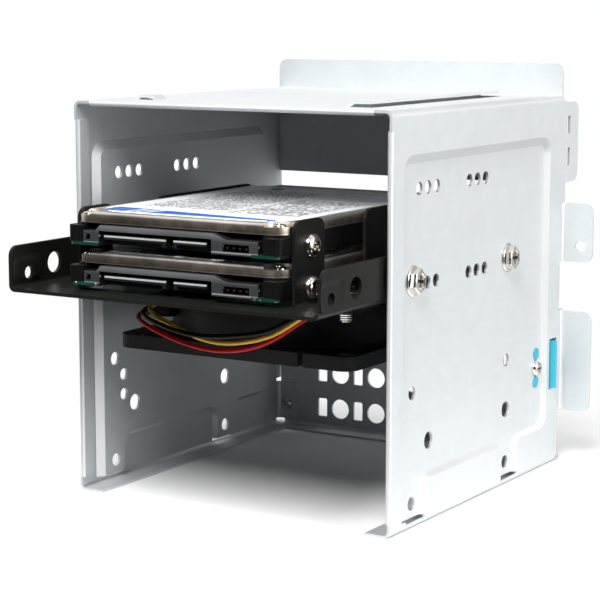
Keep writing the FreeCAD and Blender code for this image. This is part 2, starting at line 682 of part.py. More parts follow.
def louver():
    """Roof strip raised along one edge, open to the right and at both ends."""
    low = CAGE_HEIGHT - SHEET
    high = CAGE_HEIGHT + LOUVER_RISE
    free = LOUVER_X + LOUVER_WIDTH
    ramp = LOUVER_X + LOUVER_RAMP
    points = [
        (LOUVER_X, low), (ramp, high - SHEET), (free, high - SHEET), (free, high), (ramp, high),
        (LOUVER_X, CAGE_HEIGHT),
    ]
    return slab(points, 0, on_xz(LOUVER_FRONT), V(0, LOUVER_LENGTH, 0))


def bridge():
    """Short roof strip raised in the middle and joined at both ends."""
    half = BRIDGE_WIDTH / 2
    high = CAGE_HEIGHT + BRIDGE_RISE
    crown = half - BRIDGE_RISE
    left = [(-half, CAGE_HEIGHT - SHEET), (-half, CAGE_HEIGHT), (-crown, high)]
    under = [(crown - SHEET / 2, high - SHEET), (SHEET / 2 - crown, high - SHEET)]
    points = left + [(-x, z) for x, z in left[::-1]] + under
    points = [(BRIDGE_X + x, z) for x, z in points]
    return slab(points, 0, on_xz(BRIDGE_FRONT), V(0, BRIDGE_LENGTH, 0))


def roof_openings():
    z = (CAGE_HEIGHT - 2 * SHEET, CAGE_HEIGHT + SHEET)
    louver_x = (LOUVER_X, LOUVER_X + LOUVER_WIDTH + LOUVER_SIDE_GAP)
    bridge_x = (BRIDGE_X - BRIDGE_WIDTH / 2, BRIDGE_X + BRIDGE_WIDTH / 2)
    return [
        box(louver_x, (LOUVER_FRONT, LOUVER_FRONT + LOUVER_LENGTH), z),
        box(bridge_x, (BRIDGE_FRONT, BRIDGE_FRONT + BRIDGE_LENGTH), z),
    ]


def foot_slots(side):
    x = sorted((side * (WALL_X + OVERCUT), side * (RECESS_INSIDE - OVERCUT)))
    z = (LEG_FOOT - FOOT_SLOT_HEIGHT, LEG_FOOT)
    front = (RECESS_FRONT_MARGIN + RECESS_SLOPE, BAY_HOLES_Y[0] + LEG_HALF_WIDTH)
    rear = (BAY_HOLES_Y[1] - LEG_HALF_WIDTH, BAY_HOLES_Y[1] + LEG_HALF_WIDTH)
    return [box(x, front, z), box(x, rear, z)]


def latch_slot():
    y = (LATCH_BAR_FRONT - LATCH_SLOT_AHEAD, LATCH_BAR_FRONT + LATCH_BAR_LENGTH + LATCH_SLOT_BEHIND)
    half = LATCH_BAR_HEIGHT / 2 + LATCH_SLOT_SIDE
    return box((WALL_INSIDE - OVERCUT, WALL_X + OVERCUT), y, (LATCH_SCREW_Z - half, LATCH_SCREW_Z + half))


def cage_shell():
    path = [(BASE_FLANGE - WALL_X, 0), (-WALL_X, 0), (-WALL_X, CAGE_HEIGHT)]
    path += [(-a, b) for a, b in path[::-1]]
    shell = slab(*folded_strip(path, SHEET, SHEET_BEND), on_xz(0), V(0, CAGE_DEPTH, 0))
    fold = SHEET + SHEET_BEND
    flange_end = CAGE_DEPTH - BASE_FLANGE_REAR_GAP
    across = (-WALL_X - OVERCUT, WALL_X + OVERCUT)
    rear_end = CAGE_DEPTH + OVERCUT
    cuts = [box(across, (PANEL_FRONT, rear_end), (CAGE_HEIGHT - fold, CAGE_HEIGHT + OVERCUT))]
    cuts.append(box((fold - WALL_X, WALL_X - fold), (flange_end, rear_end), (-OVERCUT, fold)))
    cuts += hem_beds() + rear_fold_beds() + roof_openings()
    shell = shell.cut(cuts)
    adds = [roof_hem(), louver(), bridge(), hook_tab()]
    adds.append(rear_fold(1, True, UPPER_EAR_FOOT, UPPER_EAR_HEIGHT, EAR_REACH, EAR_CORNER))
    adds.append(rear_fold(1, True, LOWER_EAR_FOOT, LOWER_EAR_HEIGHT, EAR_REACH, EAR_CORNER))
    for side in (-1, 1):
        adds.append(wall_hem(side))
        for foot in RIVET_TAB_FEET:
            adds.append(rear_fold(side, False, foot, RIVET_TAB_HEIGHT, RIVET_TAB_REACH, RIVET_TAB_CORNER))
    shell = shell.fuse(adds)
    openings = [latch_slot()]
    ear_hole = V(WALL_X + EAR_REACH - EAR_HOLE_INSET, 0, UPPER_EAR_FOOT + EAR_HOLE_RISE)
    openings.append(rod(ear_hole, ear_hole + V(0, 2 * CAGE_DEPTH, 0), EAR_HOLE_RADIUS))
    for side in (-1, 1):
        shell = pressed(shell, recess_outline, side * WALL_X, -side, SHEET, RECESS_DEPTH, RECESS_SLOPE)
        outside = side * (WALL_X + OVERCUT)
        inside = side * (RECESS_INSIDE - OVERCUT)
        for y, z, radius in wall_holes(side):
            openings.append(rod(V(outside, y, z), V(inside, y, z), radius))
        for z in RIVETS_Z:
            seat = V(side * RIVET_X, PANEL_FRONT - 2 * SHEET, z)
            openings.append(rod(seat, seat + V(0, 2 * SHEET, 0), RIVET_RADIUS))
        openings += foot_slots(side)
    return shell.cut(openings).removeSplitter()


def rear_upper_panel():
    top = CAGE_HEIGHT + LIP_HEIGHT
    across = (-UPPER_PANEL_HALF_WIDTH, UPPER_PANEL_HALF_WIDTH)
    points = rectangle(across, (CAGE_HEIGHT - UPPER_PANEL_HEIGHT, top))
    return slab(points, [0, 0, LIP_CORNER, LIP_CORNER], on_xz(PANEL_FRONT), V(0, SHEET, 0))


def vents():
    """Rows of round holes and upright slots by turns."""
    holes = []
    start = PANEL_FRONT - OVERCUT
    through = V(0, SHEET + 2 * OVERCUT, 0)
    for row in range(VENT_ROWS):
        z = VENT_ROW_Z + row * VENT_ROW_PITCH
        for column in range(-VENT_SIDE_COUNT, VENT_SIDE_COUNT + 1):
            x = column * VENT_PITCH
            if column % 2:
                width = (x - VENT_SLOT_WIDTH / 2, x + VENT_SLOT_WIDTH / 2)
                height = (z - VENT_SLOT_HEIGHT / 2, z + VENT_SLOT_HEIGHT / 2)
                holes.append(slab(rectangle(width, height), VENT_SLOT_CORNER, on_xz(start), through))
            else:
                holes.append(rod(V(x, start, z), V(x, start, z) + through, VENT_RADIUS))
    return holes


def rear_lower_panel():
    path = [(PANEL_REAR, LOWER_PANEL_HEIGHT), (PANEL_REAR, 0), (PANEL_REAR - LOWER_PANEL_FLANGE, 0)]
    section = folded_strip(path, SHEET, SHEET_BEND)
    half = LOWER_PANEL_HALF_WIDTH
    panel = slab(*section, on_yz(-half), V(2 * half, 0, 0))
    cuts = vents()
    for side in (-1, 1):
        x = sorted((side * (half - LOWER_PANEL_NOTCH), side * (half + OVERCUT)))
        cuts.append(box(x, (0, CAGE_DEPTH), (-OVERCUT, RIVET_TAB_FEET[0])))
        for z in RIVETS_Z:
            hole = V(side * RIVET_X, PANEL_FRONT - OVERCUT, z)
            cuts.append(rod(hole, hole + V(0, SHEET + 2 * OVERCUT, 0), RIVET_RADIUS))
    return panel.cut(cuts)


def rivet(base):
    """Rivet with a domed head inside the cage and a flat tail behind the panel."""
    grip = 2 * SHEET
    points = [
        (0, -RIVET_HEAD_HEIGHT), (RIVET_HEAD_RADIUS, -RIVET_HEAD_HEIGHT), (RIVET_HEAD_RADIUS, 0),
        (RIVET_RADIUS, 0), (RIVET_RADIUS, grip), (RIVET_HEAD_RADIUS, grip),
        (RIVET_HEAD_RADIUS, grip + RIVET_TAIL_HEIGHT), (0, grip + RIVET_TAIL_HEIGHT),
    ]
    return turned(points, [0, DOME_SHARE * RIVET_HEAD_HEIGHT, 0, 0, 0, 0, 0, 0], base, V(0, 1, 0))


def panel_rivets():
    seats = [V(side * RIVET_X, PANEL_FRONT - SHEET, z) for side in (-1, 1) for z in RIVETS_Z]
    return Part.makeCompound([rivet(seat) for seat in seats])


# Carrier tray and screws

def tray_pad_outline(inset):
    y = (TRAY_SPARE_HOLE_Y - TRAY_PAD_AHEAD + inset, TRAY_SPARE_HOLE_Y + TRAY_PAD_BEHIND - inset)
    z = (TRAY_BAY_Z - TRAY_PAD_BELOW + inset, TRAY_BAY_Z + TRAY_PAD_ABOVE - inset)
    return rectangle(y, z), TRAY_PAD_CORNER + TRAY_PAD_SLOPE - inset


def upright(span):
    """Right-hand upright folded up out of the plate."""
    fold_end = UPRIGHT_X + 2 * (TRAY_SHEET + TRAY_BEND)
    path = [(fold_end, TRAY_BOTTOM), (UPRIGHT_X, TRAY_BOTTOM), (UPRIGHT_X, UPRIGHT_TOP)]
    strip = slab(*folded_strip(path, TRAY_SHEET, TRAY_BEND), on_xz(span[0]), V(0, span[1] - span[0], 0))
    face = rectangle(span, (TRAY_BOTTOM, UPRIGHT_TOP))
    trim = slab(face, [0, 0, UPRIGHT_CORNER, UPRIGHT_CORNER], on_yz(0), V(TRAY_WIDTH, 0, 0))
    solid = strip.common(trim)
    holes = []
    radius = DRIVE_SCREW_RADIUS + THREAD_CLEARANCE
    through = V(TRAY_SHEET + 2 * OVERCUT, 0, 0)
    for y in DRIVE_HOLES_Y:
        for bottom in DRIVE_BOTTOMS.values():
            start = V(UPRIGHT_X - OVERCUT, y, bottom + DRIVE_HOLE_Z)
            holes.append(rod(start, start + through, radius))
    return solid.cut(holes)


def tray_openings():
    """Fan opening, and the windows that the uprights were folded out of."""
    z = (TRAY_BOTTOM - OVERCUT, TRAY_TOP + OVERCUT)
    fold_end = UPRIGHT_X + 2 * (TRAY_SHEET + TRAY_BEND)
    window = (UPRIGHT_X + TRAY_BOTTOM - UPRIGHT_TOP, fold_end)
    cuts = [rod(V(0, FAN_Y, z[0]), V(0, FAN_Y, z[1]), FAN_BORE)]
    for span in UPRIGHTS_Y:
        cuts.append(box(window, span, z))
        cuts.append(box((-window[1], -window[0]), span, z))
    for x, y in FAN_HOLES:
        cuts.append(rod(V(x, y, z[0]), V(x, y, z[1]), FAN_SCREW_RADIUS + THREAD_CLEARANCE))
    for side in (-1, 1):
        gauge = V(side * GAUGE_HOLE_X, TRAY_FRONT + DRIVE_FRONT_INSET, z[0])
        cuts.append(rod(gauge, gauge + V(0, 0, TRAY_SHEET + 2 * OVERCUT), GAUGE_HOLE_RADIUS))
    return cuts


def flange_holes():
    """Holes of one tray flange as (y, z, radius)."""
    holes = [(y, TRAY_BAY_Z, BAY_SCREW_RADIUS + THREAD_CLEARANCE) for y in TRAY_HOLES_Y]
    z = DRIVE_BOTTOMS["lower"] + DRIVE_HOLE_Z + ACCESS_HOLE_ABOVE
    holes += [(y - ACCESS_HOLE_AHEAD, z, ACCESS_HOLE_RADIUS) for y in DRIVE_HOLES_Y]
    return holes


def right_flange_waste():
    """Front end that the right flange is cut short by, up to its own rounded corner."""
    top = TRAY_BOTTOM + TRAY_FLANGE_HEIGHT
    foot = TRAY_TOP + TRAY_BEND
    front = TRAY_FRONT + TRAY_RIGHT_SETBACK
    x = (TRAY_WIDTH / 2 - 2 * TRAY_SHEET, TRAY_WIDTH / 2 + OVERCUT)
    strip = box(x, (TRAY_FRONT - OVERCUT, front + TRAY_CORNER), (foot, top + OVERCUT))
    flange = rectangle((front, TRAY_REAR), (TRAY_BOTTOM, top))
    return strip.cut(slab(flange, [0, 0, 0, TRAY_CORNER], on_yz(x[0]), V(x[1] - x[0], 0, 0)))


def carrier_tray():
    half = TRAY_WIDTH / 2
    top = TRAY_BOTTOM + TRAY_FLANGE_HEIGHT
    path = [(half, top), (half, TRAY_BOTTOM), (-half, TRAY_BOTTOM), (-half, top)]
    section = folded_strip(path, TRAY_SHEET, TRAY_BEND)
    tray = slab(*section, on_xz(TRAY_FRONT), V(0, TRAY_REAR - TRAY_FRONT, 0))
    side_view = rectangle((TRAY_FRONT, TRAY_REAR), (TRAY_BOTTOM, top))
    tray = tray.common(slab(side_view, [0, 0, TRAY_CORNER, TRAY_CORNER], on_yz(-half), V(TRAY_WIDTH, 0, 0)))
    tray = tray.cut(tray_openings())
    uprights = [upright(span) for span in UPRIGHTS_Y]
    uprights += [piece.mirror(V(0, 0, 0), V(1, 0, 0)) for piece in uprights]
    tray = tray.fuse(uprights)
    cuts = [right_flange_waste()]
    for side in (-1, 1):
        tray = pressed(tray, tray_pad_outline, side * half, -side, TRAY_SHEET, TRAY_PAD_DEPTH, TRAY_PAD_SLOPE)
        for y, z, radius in flange_holes():
            inner = half - TRAY_SHEET - TRAY_PAD_DEPTH - OVERCUT
            cuts.append(rod(V(side * (half + OVERCUT), y, z), V(side * inner, y, z), radius))
    return tray.cut(cuts).removeSplitter()


def hexagon(flats):
    """Corner points of a hexagon across the given flats."""
    corner = flats / math.sqrt(3)
    return [(corner * math.cos(i * math.pi / 3), corner * math.sin(i * math.pi / 3)) for i in range(6)]


def bay_screw(seat, outward):
    """Hex screw with a washer face, bevelled on top."""
    length = RECESS_FACE - TRAY_WIDTH / 2 + TRAY_SHEET + BAY_SCREW_REACH
    shank = rod(V(0, 0, -length), V(0, 0, 0), BAY_SCREW_RADIUS)
    washer = rod(V(0, 0, 0), V(0, 0, BAY_WASHER_HEIGHT), BAY_WASHER_RADIUS)
    top = BAY_WASHER_HEIGHT + BAY_HEX_HEIGHT
    head = slab(hexagon(BAY_HEX_FLATS), 0, on_xy(BAY_WASHER_HEIGHT), V(0, 0, BAY_HEX_HEIGHT))
    cone = [(0, 0), (BAY_WASHER_RADIUS, 0), (BAY_HEX_FLATS / 2, top), (0, top)]
    bevel = turned(cone, 0, V(0, 0, 0), V(0, 0, 1))
    screw = shank.fuse([washer, head.common(bevel)])
    screw.Placement = FreeCAD.Placement(seat, FreeCAD.Rotation(V(0, 0, 1), outward))
    return screw


def bay_screws():
    screws = []
    for side in (-1, 1):
        for y in BAY_HOLES_Y:
            screws.append(bay_screw(V(side * RECESS_FACE, y, TRAY_BAY_Z), V(side, 0, 0)))
    return Part.makeCompound(screws)


def drive_screws():
    seat = UPRIGHT_X + TRAY_SHEET
    head = (DRIVE_SCREW_HEAD_RADIUS, DRIVE_SCREW_HEAD_HEIGHT)
    screws = []
    for side in (-1, 1):
        for y in DRIVE_HOLES_Y:
            for bottom in DRIVE_BOTTOMS.values():
                place = V(side * seat, y, bottom + DRIVE_HOLE_Z)
                screws.append(pan_screw(place, V(side, 0, 0), *head, DRIVE_SCREW_RADIUS, DRIVE_SCREW_LENGTH))
    return Part.makeCompound(screws)


def fan_screws():
    head = (FAN_SCREW_HEAD_RADIUS, FAN_SCREW_HEAD_HEIGHT)
    length = TRAY_SHEET + FAN_FLANGE + FAN_SCREW_TIP
    up = V(0, 0, 1)
    screws = [pan_screw(V(x, y, TRAY_TOP), up, *head, FAN_SCREW_RADIUS, length) for x, y in FAN_HOLES]
    return Part.makeCompound(screws)


# Slim drive, drawn with its bottom at z = 0

def drive_cavity(foot, top):
    """Room for the platters and for the head arm beside them."""
    centre = DRIVE_REAR - PLATTER_REAR_INSET
    pivot_y = centre - PIVOT_AHEAD
    room = ((-ARM_ROOM_LEFT, ARM_ROOM_RIGHT), (pivot_y - ARM_ROOM_AHEAD, pivot_y + ARM_ROOM_BEHIND))
    round_part = rod(V(0, centre, foot), V(0, centre, top), PLATTER_RADIUS + PLATTER_CLEARANCE)
    return round_part.fuse(slab(rectangle(*room), CASE_CORNER, on_xy(foot), V(0, 0, top - foot)))


def cover_screw_places():
    x = DRIVE_WIDTH / 2 - COVER_SCREW_INSET
    y = (DRIVE_FRONT + CASE_SETBACK + COVER_SCREW_INSET, DRIVE_REAR - COVER_SCREW_INSET)
    return [(side * x, place) for side in (-1, 1) for place in y]


def spindle_posts(foot, top):
    centre = DRIVE_REAR - PLATTER_REAR_INSET
    spots = ((0, centre), (PIVOT_X, centre - PIVOT_AHEAD))
    return [rod(V(x, y, foot), V(x, y, top), POST_RADIUS) for x, y in spots]


def drive_base():
    """Casting with a pocket for the connector, corner posts, a step for the board and the sealed cavity."""
    half = DRIVE_WIDTH / 2
    foot = BOARD_RISE + BOARD_THICKNESS
    top = DRIVE_HEIGHT - COVER_HEIGHT
    case_front = DRIVE_FRONT + CASE_SETBACK
    board_end = DRIVE_FRONT + BOARD_LENGTH + BOARD_SIDE_INSET
    corners = [CASE_FRONT_CORNER, CASE_FRONT_CORNER, CASE_CORNER, CASE_CORNER]
    body = slab(rectangle((-half, half), (case_front, DRIVE_REAR)), corners, on_xy(foot), V(0, 0, top - foot))
    corners = [0, 0, CASE_CORNER, CASE_CORNER]
    step = slab(rectangle((-half, half), (board_end, DRIVE_REAR)), corners, on_xy(0), V(0, 0, foot))
    pocket_x = (PLUG_LEFT - PLUG_GAP, PLUG_RIGHT + PLUG_GAP)
    pocket_y = (DRIVE_FRONT - OVERCUT, DRIVE_FRONT + PLUG_DEPTH + PLUG_GAP)
    body = body.cut(box(pocket_x, pocket_y, (foot, top)))
    post_y = (DRIVE_FRONT, case_front + CASE_FRONT_CORNER)
    post_view = rectangle((half - POST_WIDTH, half), post_y)
    post = slab(post_view, [0, POST_CORNER, 0, 0], on_xy(foot), V(0, 0, POST_HEIGHT))
    posts = [post, post.mirror(V(0, 0, 0), V(1, 0, 0))]
    base = body.fuse([step] + posts).cut(drive_cavity(CAVITY_FLOOR, top))
    base = base.fuse(spindle_posts(CAVITY_FLOOR, CAVITY_FLOOR + HUB_LIFT + HUB_HEIGHT))
    holes = []
    for side in (-1, 1):
        for y in DRIVE_HOLES_Y:
            start = V(side * half, y, DRIVE_HOLE_Z)
            holes.append(rod(start, start - V(side * DRIVE_SCREW_LENGTH, 0, 0), DRIVE_HOLE_RADIUS))
    for x, y in cover_screw_places():
        holes.append(rod(V(x, y, top - COVER_SCREW_LENGTH), V(x, y, top), COVER_SCREW_RADIUS))
    return base.cut(holes).removeSplitter()


def drive_cover():
    """Pressed cover with rounded edges and a dimple at each screw."""
    half = DRIVE_WIDTH / 2 - COVER_INSET
    foot = DRIVE_HEIGHT - COVER_HEIGHT
    y = (DRIVE_FRONT + CASE_SETBACK, DRIVE_REAR - COVER_INSET)
    corners = [CASE_FRONT_CORNER, CASE_FRONT_CORNER, CASE_CORNER, CASE_CORNER]
    cover = slab(rectangle((-half, half), y), corners, on_xy(foot), V(0, 0, COVER_HEIGHT))
    rim = [edge for edge in cover.Edges if edge.BoundBox.ZMin > DRIVE_HEIGHT - COVER_HEIGHT / 2]
    cover = cover.makeFillet(COVER_EDGE, rim)
    cuts = [drive_cavity(foot, DRIVE_HEIGHT - COVER_SHEET)]
    for x, place in cover_screw_places():
        top = V(x, place, DRIVE_HEIGHT)
        cuts.append(rod(V(x, place, foot), top, COVER_SCREW_RADIUS))
        cuts.append(rod(top - V(0, 0, COVER_DIMPLE_DEPTH), top, COVER_DIMPLE_RADIUS))
    return cover.cut(cuts)


def cover_screws():
    seat = DRIVE_HEIGHT - COVER_DIMPLE_DEPTH
    head = (COVER_SCREW_HEAD_RADIUS, COVER_SCREW_HEAD_HEIGHT)
    length = COVER_HEIGHT - COVER_DIMPLE_DEPTH + COVER_SCREW_LENGTH
    screws = []
    for x, y in cover_screw_places():
        screws.append(pan_screw(V(x, y, seat), V(0, 0, 1), *head, COVER_SCREW_RADIUS, length))
    return Part.makeCompound(screws)


def drive_label():
    half = DRIVE_WIDTH / 2 - LABEL_SIDE_INSET
    y = (DRIVE_FRONT + CASE_SETBACK + LABEL_FRONT_INSET, DRIVE_REAR - LABEL_REAR_INSET)
    corners = [LABEL_FRONT_CORNER, LABEL_FRONT_CORNER, LABEL_CORNER, LABEL_CORNER]
    return slab(rectangle((-half, half), y), corners, on_xy(DRIVE_HEIGHT), V(0, 0, LABEL_THICKNESS))


def drive_board():
    """Circuit board with a notch under the connector's mouth."""
    half = DRIVE_WIDTH / 2 - BOARD_SIDE_INSET
    face = rectangle((-half, half), (DRIVE_FRONT, DRIVE_FRONT + BOARD_LENGTH))
    board = slab(face, [BOARD_CORNER, BOARD_CORNER, 0, 0], on_xy(BOARD_RISE), V(0, 0, BOARD_THICKNESS))
    notch_x = (MOUTH_LEFT, JUMPER_RIGHT + PLUG_WALL + NOTCH_GAP)
    notch_y = (DRIVE_FRONT - OVERCUT, DRIVE_FRONT + PLUG_MOUTH_DEPTH)
    return board.cut(box(notch_x, notch_y, (0, DRIVE_HEIGHT)))


def drive_connector():
    """Stepped plug shell, open below, with two keyed tongues and the jumper well."""
    seat = BOARD_RISE + BOARD_THICKNESS
    y = (DRIVE_FRONT, DRIVE_FRONT + PLUG_DEPTH)
    mouth_y = (DRIVE_FRONT - OVERCUT, DRIVE_FRONT + PLUG_MOUTH_DEPTH)
    front_view = [
        (PLUG_LEFT, 0), (PLUG_LEFT, PLUG_SIDE_TOP), (PLUG_SHOULDER_LEFT, PLUG_SIDE_TOP),
        (PLUG_TOP_LEFT, PLUG_TOP), (PLUG_TOP_RIGHT, PLUG_TOP), (PLUG_STEP, PLUG_STEP_TOP),
        (PLUG_RIGHT, PLUG_STEP_TOP), (PLUG_RIGHT, 0),
    ]
    front_view = [(x, seat + z) for x, z in front_view]
    shell = slab(front_view, 0, on_xz(y[0]), V(0, PLUG_DEPTH, 0))
    window_x = (PLUG_LEFT + PLUG_WALL, PLUG_LEFT + PLUG_WALL + EAR_WINDOW)
    window_z = (seat + PLUG_WALL, seat + PLUG_WALL + EAR_WINDOW)
    floor_x = (MOUTH_RIGHT, JUMPER_RIGHT + PLUG_WALL)
    floor_y = (DRIVE_FRONT, mouth_y[1] - PLUG_GAP)
    shell = shell.fuse(box(floor_x, floor_y, (seat - JUMPER_DROP, seat + JUMPER_FOOT))).cut([
        box((MOUTH_LEFT, MOUTH_RIGHT), mouth_y, (seat - OVERCUT, seat + MOUTH_TOP)),
        box((JUMPER_LEFT, JUMPER_RIGHT), mouth_y, (seat + JUMPER_FOOT, seat + JUMPER_TOP)),
        box(window_x, (DRIVE_FRONT - OVERCUT, DRIVE_FRONT + EAR_WINDOW_DEPTH), window_z),
    ])
    tongues = []
    tongue_y = (DRIVE_FRONT + TONGUE_TIP_INSET, mouth_y[1])
    tongue_z = (seat + TONGUE_FOOT, seat + TONGUE_FOOT + TONGUE_THICKNESS)
    for span, key in ((POWER_TONGUE, POWER_TONGUE[1] - KEY_WIDTH), (SIGNAL_TONGUE, SIGNAL_TONGUE[0])):
        tongues.append(box(span, tongue_y, tongue_z))
        tongues.append(box((key, key + KEY_WIDTH), tongue_y, (tongue_z[0] - KEY_DROP, tongue_z[0])))
    return shell.fuse(tongues).removeSplitter()


def drive_contacts():
    """Contact strips on the upper face of both tongues."""
    foot = BOARD_RISE + BOARD_THICKNESS + TONGUE_FOOT + TONGUE_THICKNESS
    y = (DRIVE_FRONT + CONTACT_TIP_INSET, DRIVE_FRONT + PLUG_MOUTH_DEPTH)
    strips = []
    for span, count in ((POWER_TONGUE, POWER_CONTACTS), (SIGNAL_TONGUE, SIGNAL_CONTACTS)):
        first = (sum(span) - (count - 1) * CONTACT_PITCH) / 2
        for index in range(count):
            x = first + index * CONTACT_PITCH
            width = (x - CONTACT_WIDTH / 2, x + CONTACT_WIDTH / 2)
            strips.append(box(width, y, (foot, foot + CONTACT_THICKNESS)))
    return Part.makeCompound(strips)


def jumper_pins():
    seat = BOARD_RISE + BOARD_THICKNESS
    middle = seat + (JUMPER_FOOT + JUMPER_TOP) / 2
    first = (JUMPER_LEFT + JUMPER_RIGHT - (PIN_COUNT - 1) * PIN_PITCH) / 2
    y = (DRIVE_FRONT + PIN_TIP_INSET, DRIVE_FRONT + PLUG_MOUTH_DEPTH)
    half = PIN_WIDTH / 2
    centres = [first + index * PIN_PITCH for index in range(PIN_COUNT)]
    return Part.makeCompound([box((x - half, x + half), y, (middle - half, middle + half)) for x in centres])


def platters():
    """Hub with two platters, turning on the fixed spindle post."""
    foot = CAVITY_FLOOR + HUB_LIFT
    bore = POST_RADIUS + RUNNING_CLEARANCE
    points = [(bore, 0), (HUB_RADIUS, 0)]
    for rise in PLATTER_FEET:
        points += [(HUB_RADIUS, rise - PLATTER_THICKNESS / 2), (PLATTER_RADIUS, rise - PLATTER_THICKNESS / 2)]
        points += [(PLATTER_RADIUS, rise + PLATTER_THICKNESS / 2), (HUB_RADIUS, rise + PLATTER_THICKNESS / 2)]
    points += [(HUB_RADIUS, HUB_HEIGHT), (bore, HUB_HEIGHT)]
    return turned(points, 0, V(0, DRIVE_REAR - PLATTER_REAR_INSET, foot), V(0, 0, 1))


def head_arm():
    """Arm parked off the platters, with its pivot boss and voice coil."""
    foot = CAVITY_FLOOR + HUB_LIFT
    blade_view = [
        (0, -ARM_ROOT_HALF_WIDTH), (ARM_LENGTH, -ARM_TIP_HALF_WIDTH), (ARM_LENGTH, ARM_TIP_HALF_WIDTH),
        (0, ARM_ROOT_HALF_WIDTH),
    ]
    blade_foot = ARM_FOOT - ARM_THICKNESS / 2
    tip = ARM_TIP_HALF_WIDTH
    blade = slab(blade_view, [0, tip / 2, tip / 2, 0], on_xy(blade_foot), V(0, 0, ARM_THICKNESS))
    spread = COIL_REACH * math.tan(math.radians(COIL_HALF_ANGLE))
    coil_view = [(0, -tip), (0, tip), (-COIL_REACH, spread), (-COIL_REACH, -spread)]
    coil = slab(coil_view, [0, 0, tip, tip], on_xy(COIL_FOOT), V(0, 0, COIL_THICKNESS))
    boss = rod(V(0, 0, 0), V(0, 0, HUB_HEIGHT), ARM_BOSS_RADIUS)
    bore = rod(V(0, 0, -OVERCUT), V(0, 0, HUB_HEIGHT + OVERCUT), POST_RADIUS + RUNNING_CLEARANCE)
    arm = boss.fuse([blade, coil]).cut(bore).removeSplitter()
    pivot = V(PIVOT_X, DRIVE_REAR - PLATTER_REAR_INSET - PIVOT_AHEAD, foot)
    arm.Placement = FreeCAD.Placement(pivot, FreeCAD.Rotation(V(0, 0, 1), ARM_PARK_ANGLE))
    return arm


def coil_magnet():
    pivot_y = DRIVE_REAR - PLATTER_REAR_INSET - PIVOT_AHEAD
    right = ARM_ROOM_RIGHT - RUNNING_CLEARANCE
    ahead = pivot_y - ARM_ROOM_AHEAD + CASE_CORNER
    z = (CAVITY_FLOOR, CAVITY_FLOOR + MAGNET_HEIGHT)
    return box((right - MAGNET_WIDTH, right), (ahead, ahead + MAGNET_LENGTH), z)


DRIVE_PIECES = {
    "drive_base": drive_base,
    "drive_cover": drive_cover,
    "cover_screws": cover_screws,
    "drive_label": drive_label,
    "drive_board": drive_board,
    "drive_connector": drive_connector,
    "drive_contacts": drive_contacts,
    "jumper_pins": jumper_pins,
    "platters": platters,
    "head_arm": head_arm,
    "coil_magnet": coil_magnet,
}


# Fan

def ring(inside, outside, foot, top):
    middle = V(0, FAN_Y, 0)
    return rod(middle + V(0, 0, foot), middle + V(0, 0, top), outside).cut(
        rod(middle + V(0, 0, foot), middle + V(0, 0, top), inside))


def fan_struts():
    struts = []
    for index in range(STRUT_COUNT):
        x = (MOTOR_PLATE_RADIUS - STRUT_WIDTH / 2, FAN_BORE + FAN_WALL / 2)
        z = (MOTOR_PLATE_BOTTOM, MOTOR_PLATE_BOTTOM + MOTOR_PLATE_THICKNESS)
        strut = box(x, (-STRUT_WIDTH / 2, STRUT_WIDTH / 2), z)
        strut.rotate(V(0, 0, 0), V(0, 0, 1), STRUT_ANGLE + index * 360 / STRUT_COUNT)
        strut.translate(V(0, FAN_Y, 0))
        struts.append(strut)
    return struts


def lead_boss():
    """Block beside the ring that the wires come out of."""
    reach = FAN_Y - math.sqrt(FAN_RING_RADIUS ** 2 - LEAD_BOSS_LEFT ** 2) + FAN_WALL / 2
    z = (LEAD_BOSS_TOP - LEAD_BOSS_HEIGHT, LEAD_BOSS_TOP)
    block = box((LEAD_BOSS_LEFT, LEAD_BOSS_LEFT + LEAD_BOSS_WIDTH), (LEAD_BOSS_FACE, reach), z)
    return block.cut(rod(V(0, FAN_Y, z[0]), V(0, FAN_Y, z[1]), FAN_BORE))


def fan_frame():
    half = FAN_SIZE / 2
    square = rectangle((-half, half), (FAN_Y - half, FAN_Y + half))
    adds = [slab(square, FAN_CORNER, on_xy(FAN_TOP - FAN_FLANGE), V(0, 0, FAN_FLANGE))]
    adds.append(rod(V(0, FAN_Y, FAN_BOTTOM), V(0, FAN_Y, FAN_TOP), FAN_RING_RADIUS))
    frame = slab(square, FAN_CORNER, on_xy(FAN_BOTTOM), V(0, 0, FAN_FLANGE)).fuse(adds)
    cuts = [rod(V(0, FAN_Y, FAN_BOTTOM), V(0, FAN_Y, FAN_TOP), FAN_BORE)]
    hole = FAN_SCREW_RADIUS + THREAD_CLEARANCE
    cuts += [rod(V(x, y, FAN_BOTTOM), V(x, y, FAN_TOP), hole) for x, y in FAN_HOLES]
    notch_x = (LEAD_NOTCH_X - LEAD_NOTCH_WIDTH / 2, LEAD_NOTCH_X + LEAD_NOTCH_WIDTH / 2)
    notch_y = (FAN_Y - half - OVERCUT, FAN_Y - half + LEAD_NOTCH_DEPTH)
    cuts.append(box(notch_x, notch_y, (FAN_BOTTOM, FAN_BOTTOM + FAN_FLANGE)))
    plate_top = MOTOR_PLATE_BOTTOM + MOTOR_PLATE_THICKNESS
    motor = fan_struts() + [lead_boss()]
    motor.append(rod(V(0, FAN_Y, MOTOR_PLATE_BOTTOM), V(0, FAN_Y, plate_top), MOTOR_PLATE_RADIUS))
    tube_foot = MOTOR_PLATE_BOTTOM - BEARING_TUBE_LENGTH
    motor.append(ring(BEARING_RADIUS, BEARING_TUBE_RADIUS, tube_foot, MOTOR_PLATE_BOTTOM))
    return frame.cut(cuts).fuse(motor).removeSplitter()


def fan_bearing():
    foot = MOTOR_PLATE_BOTTOM - BEARING_LENGTH
    return ring(SHAFT_RADIUS + RUNNING_CLEARANCE, BEARING_RADIUS, foot, MOTOR_PLATE_BOTTOM)


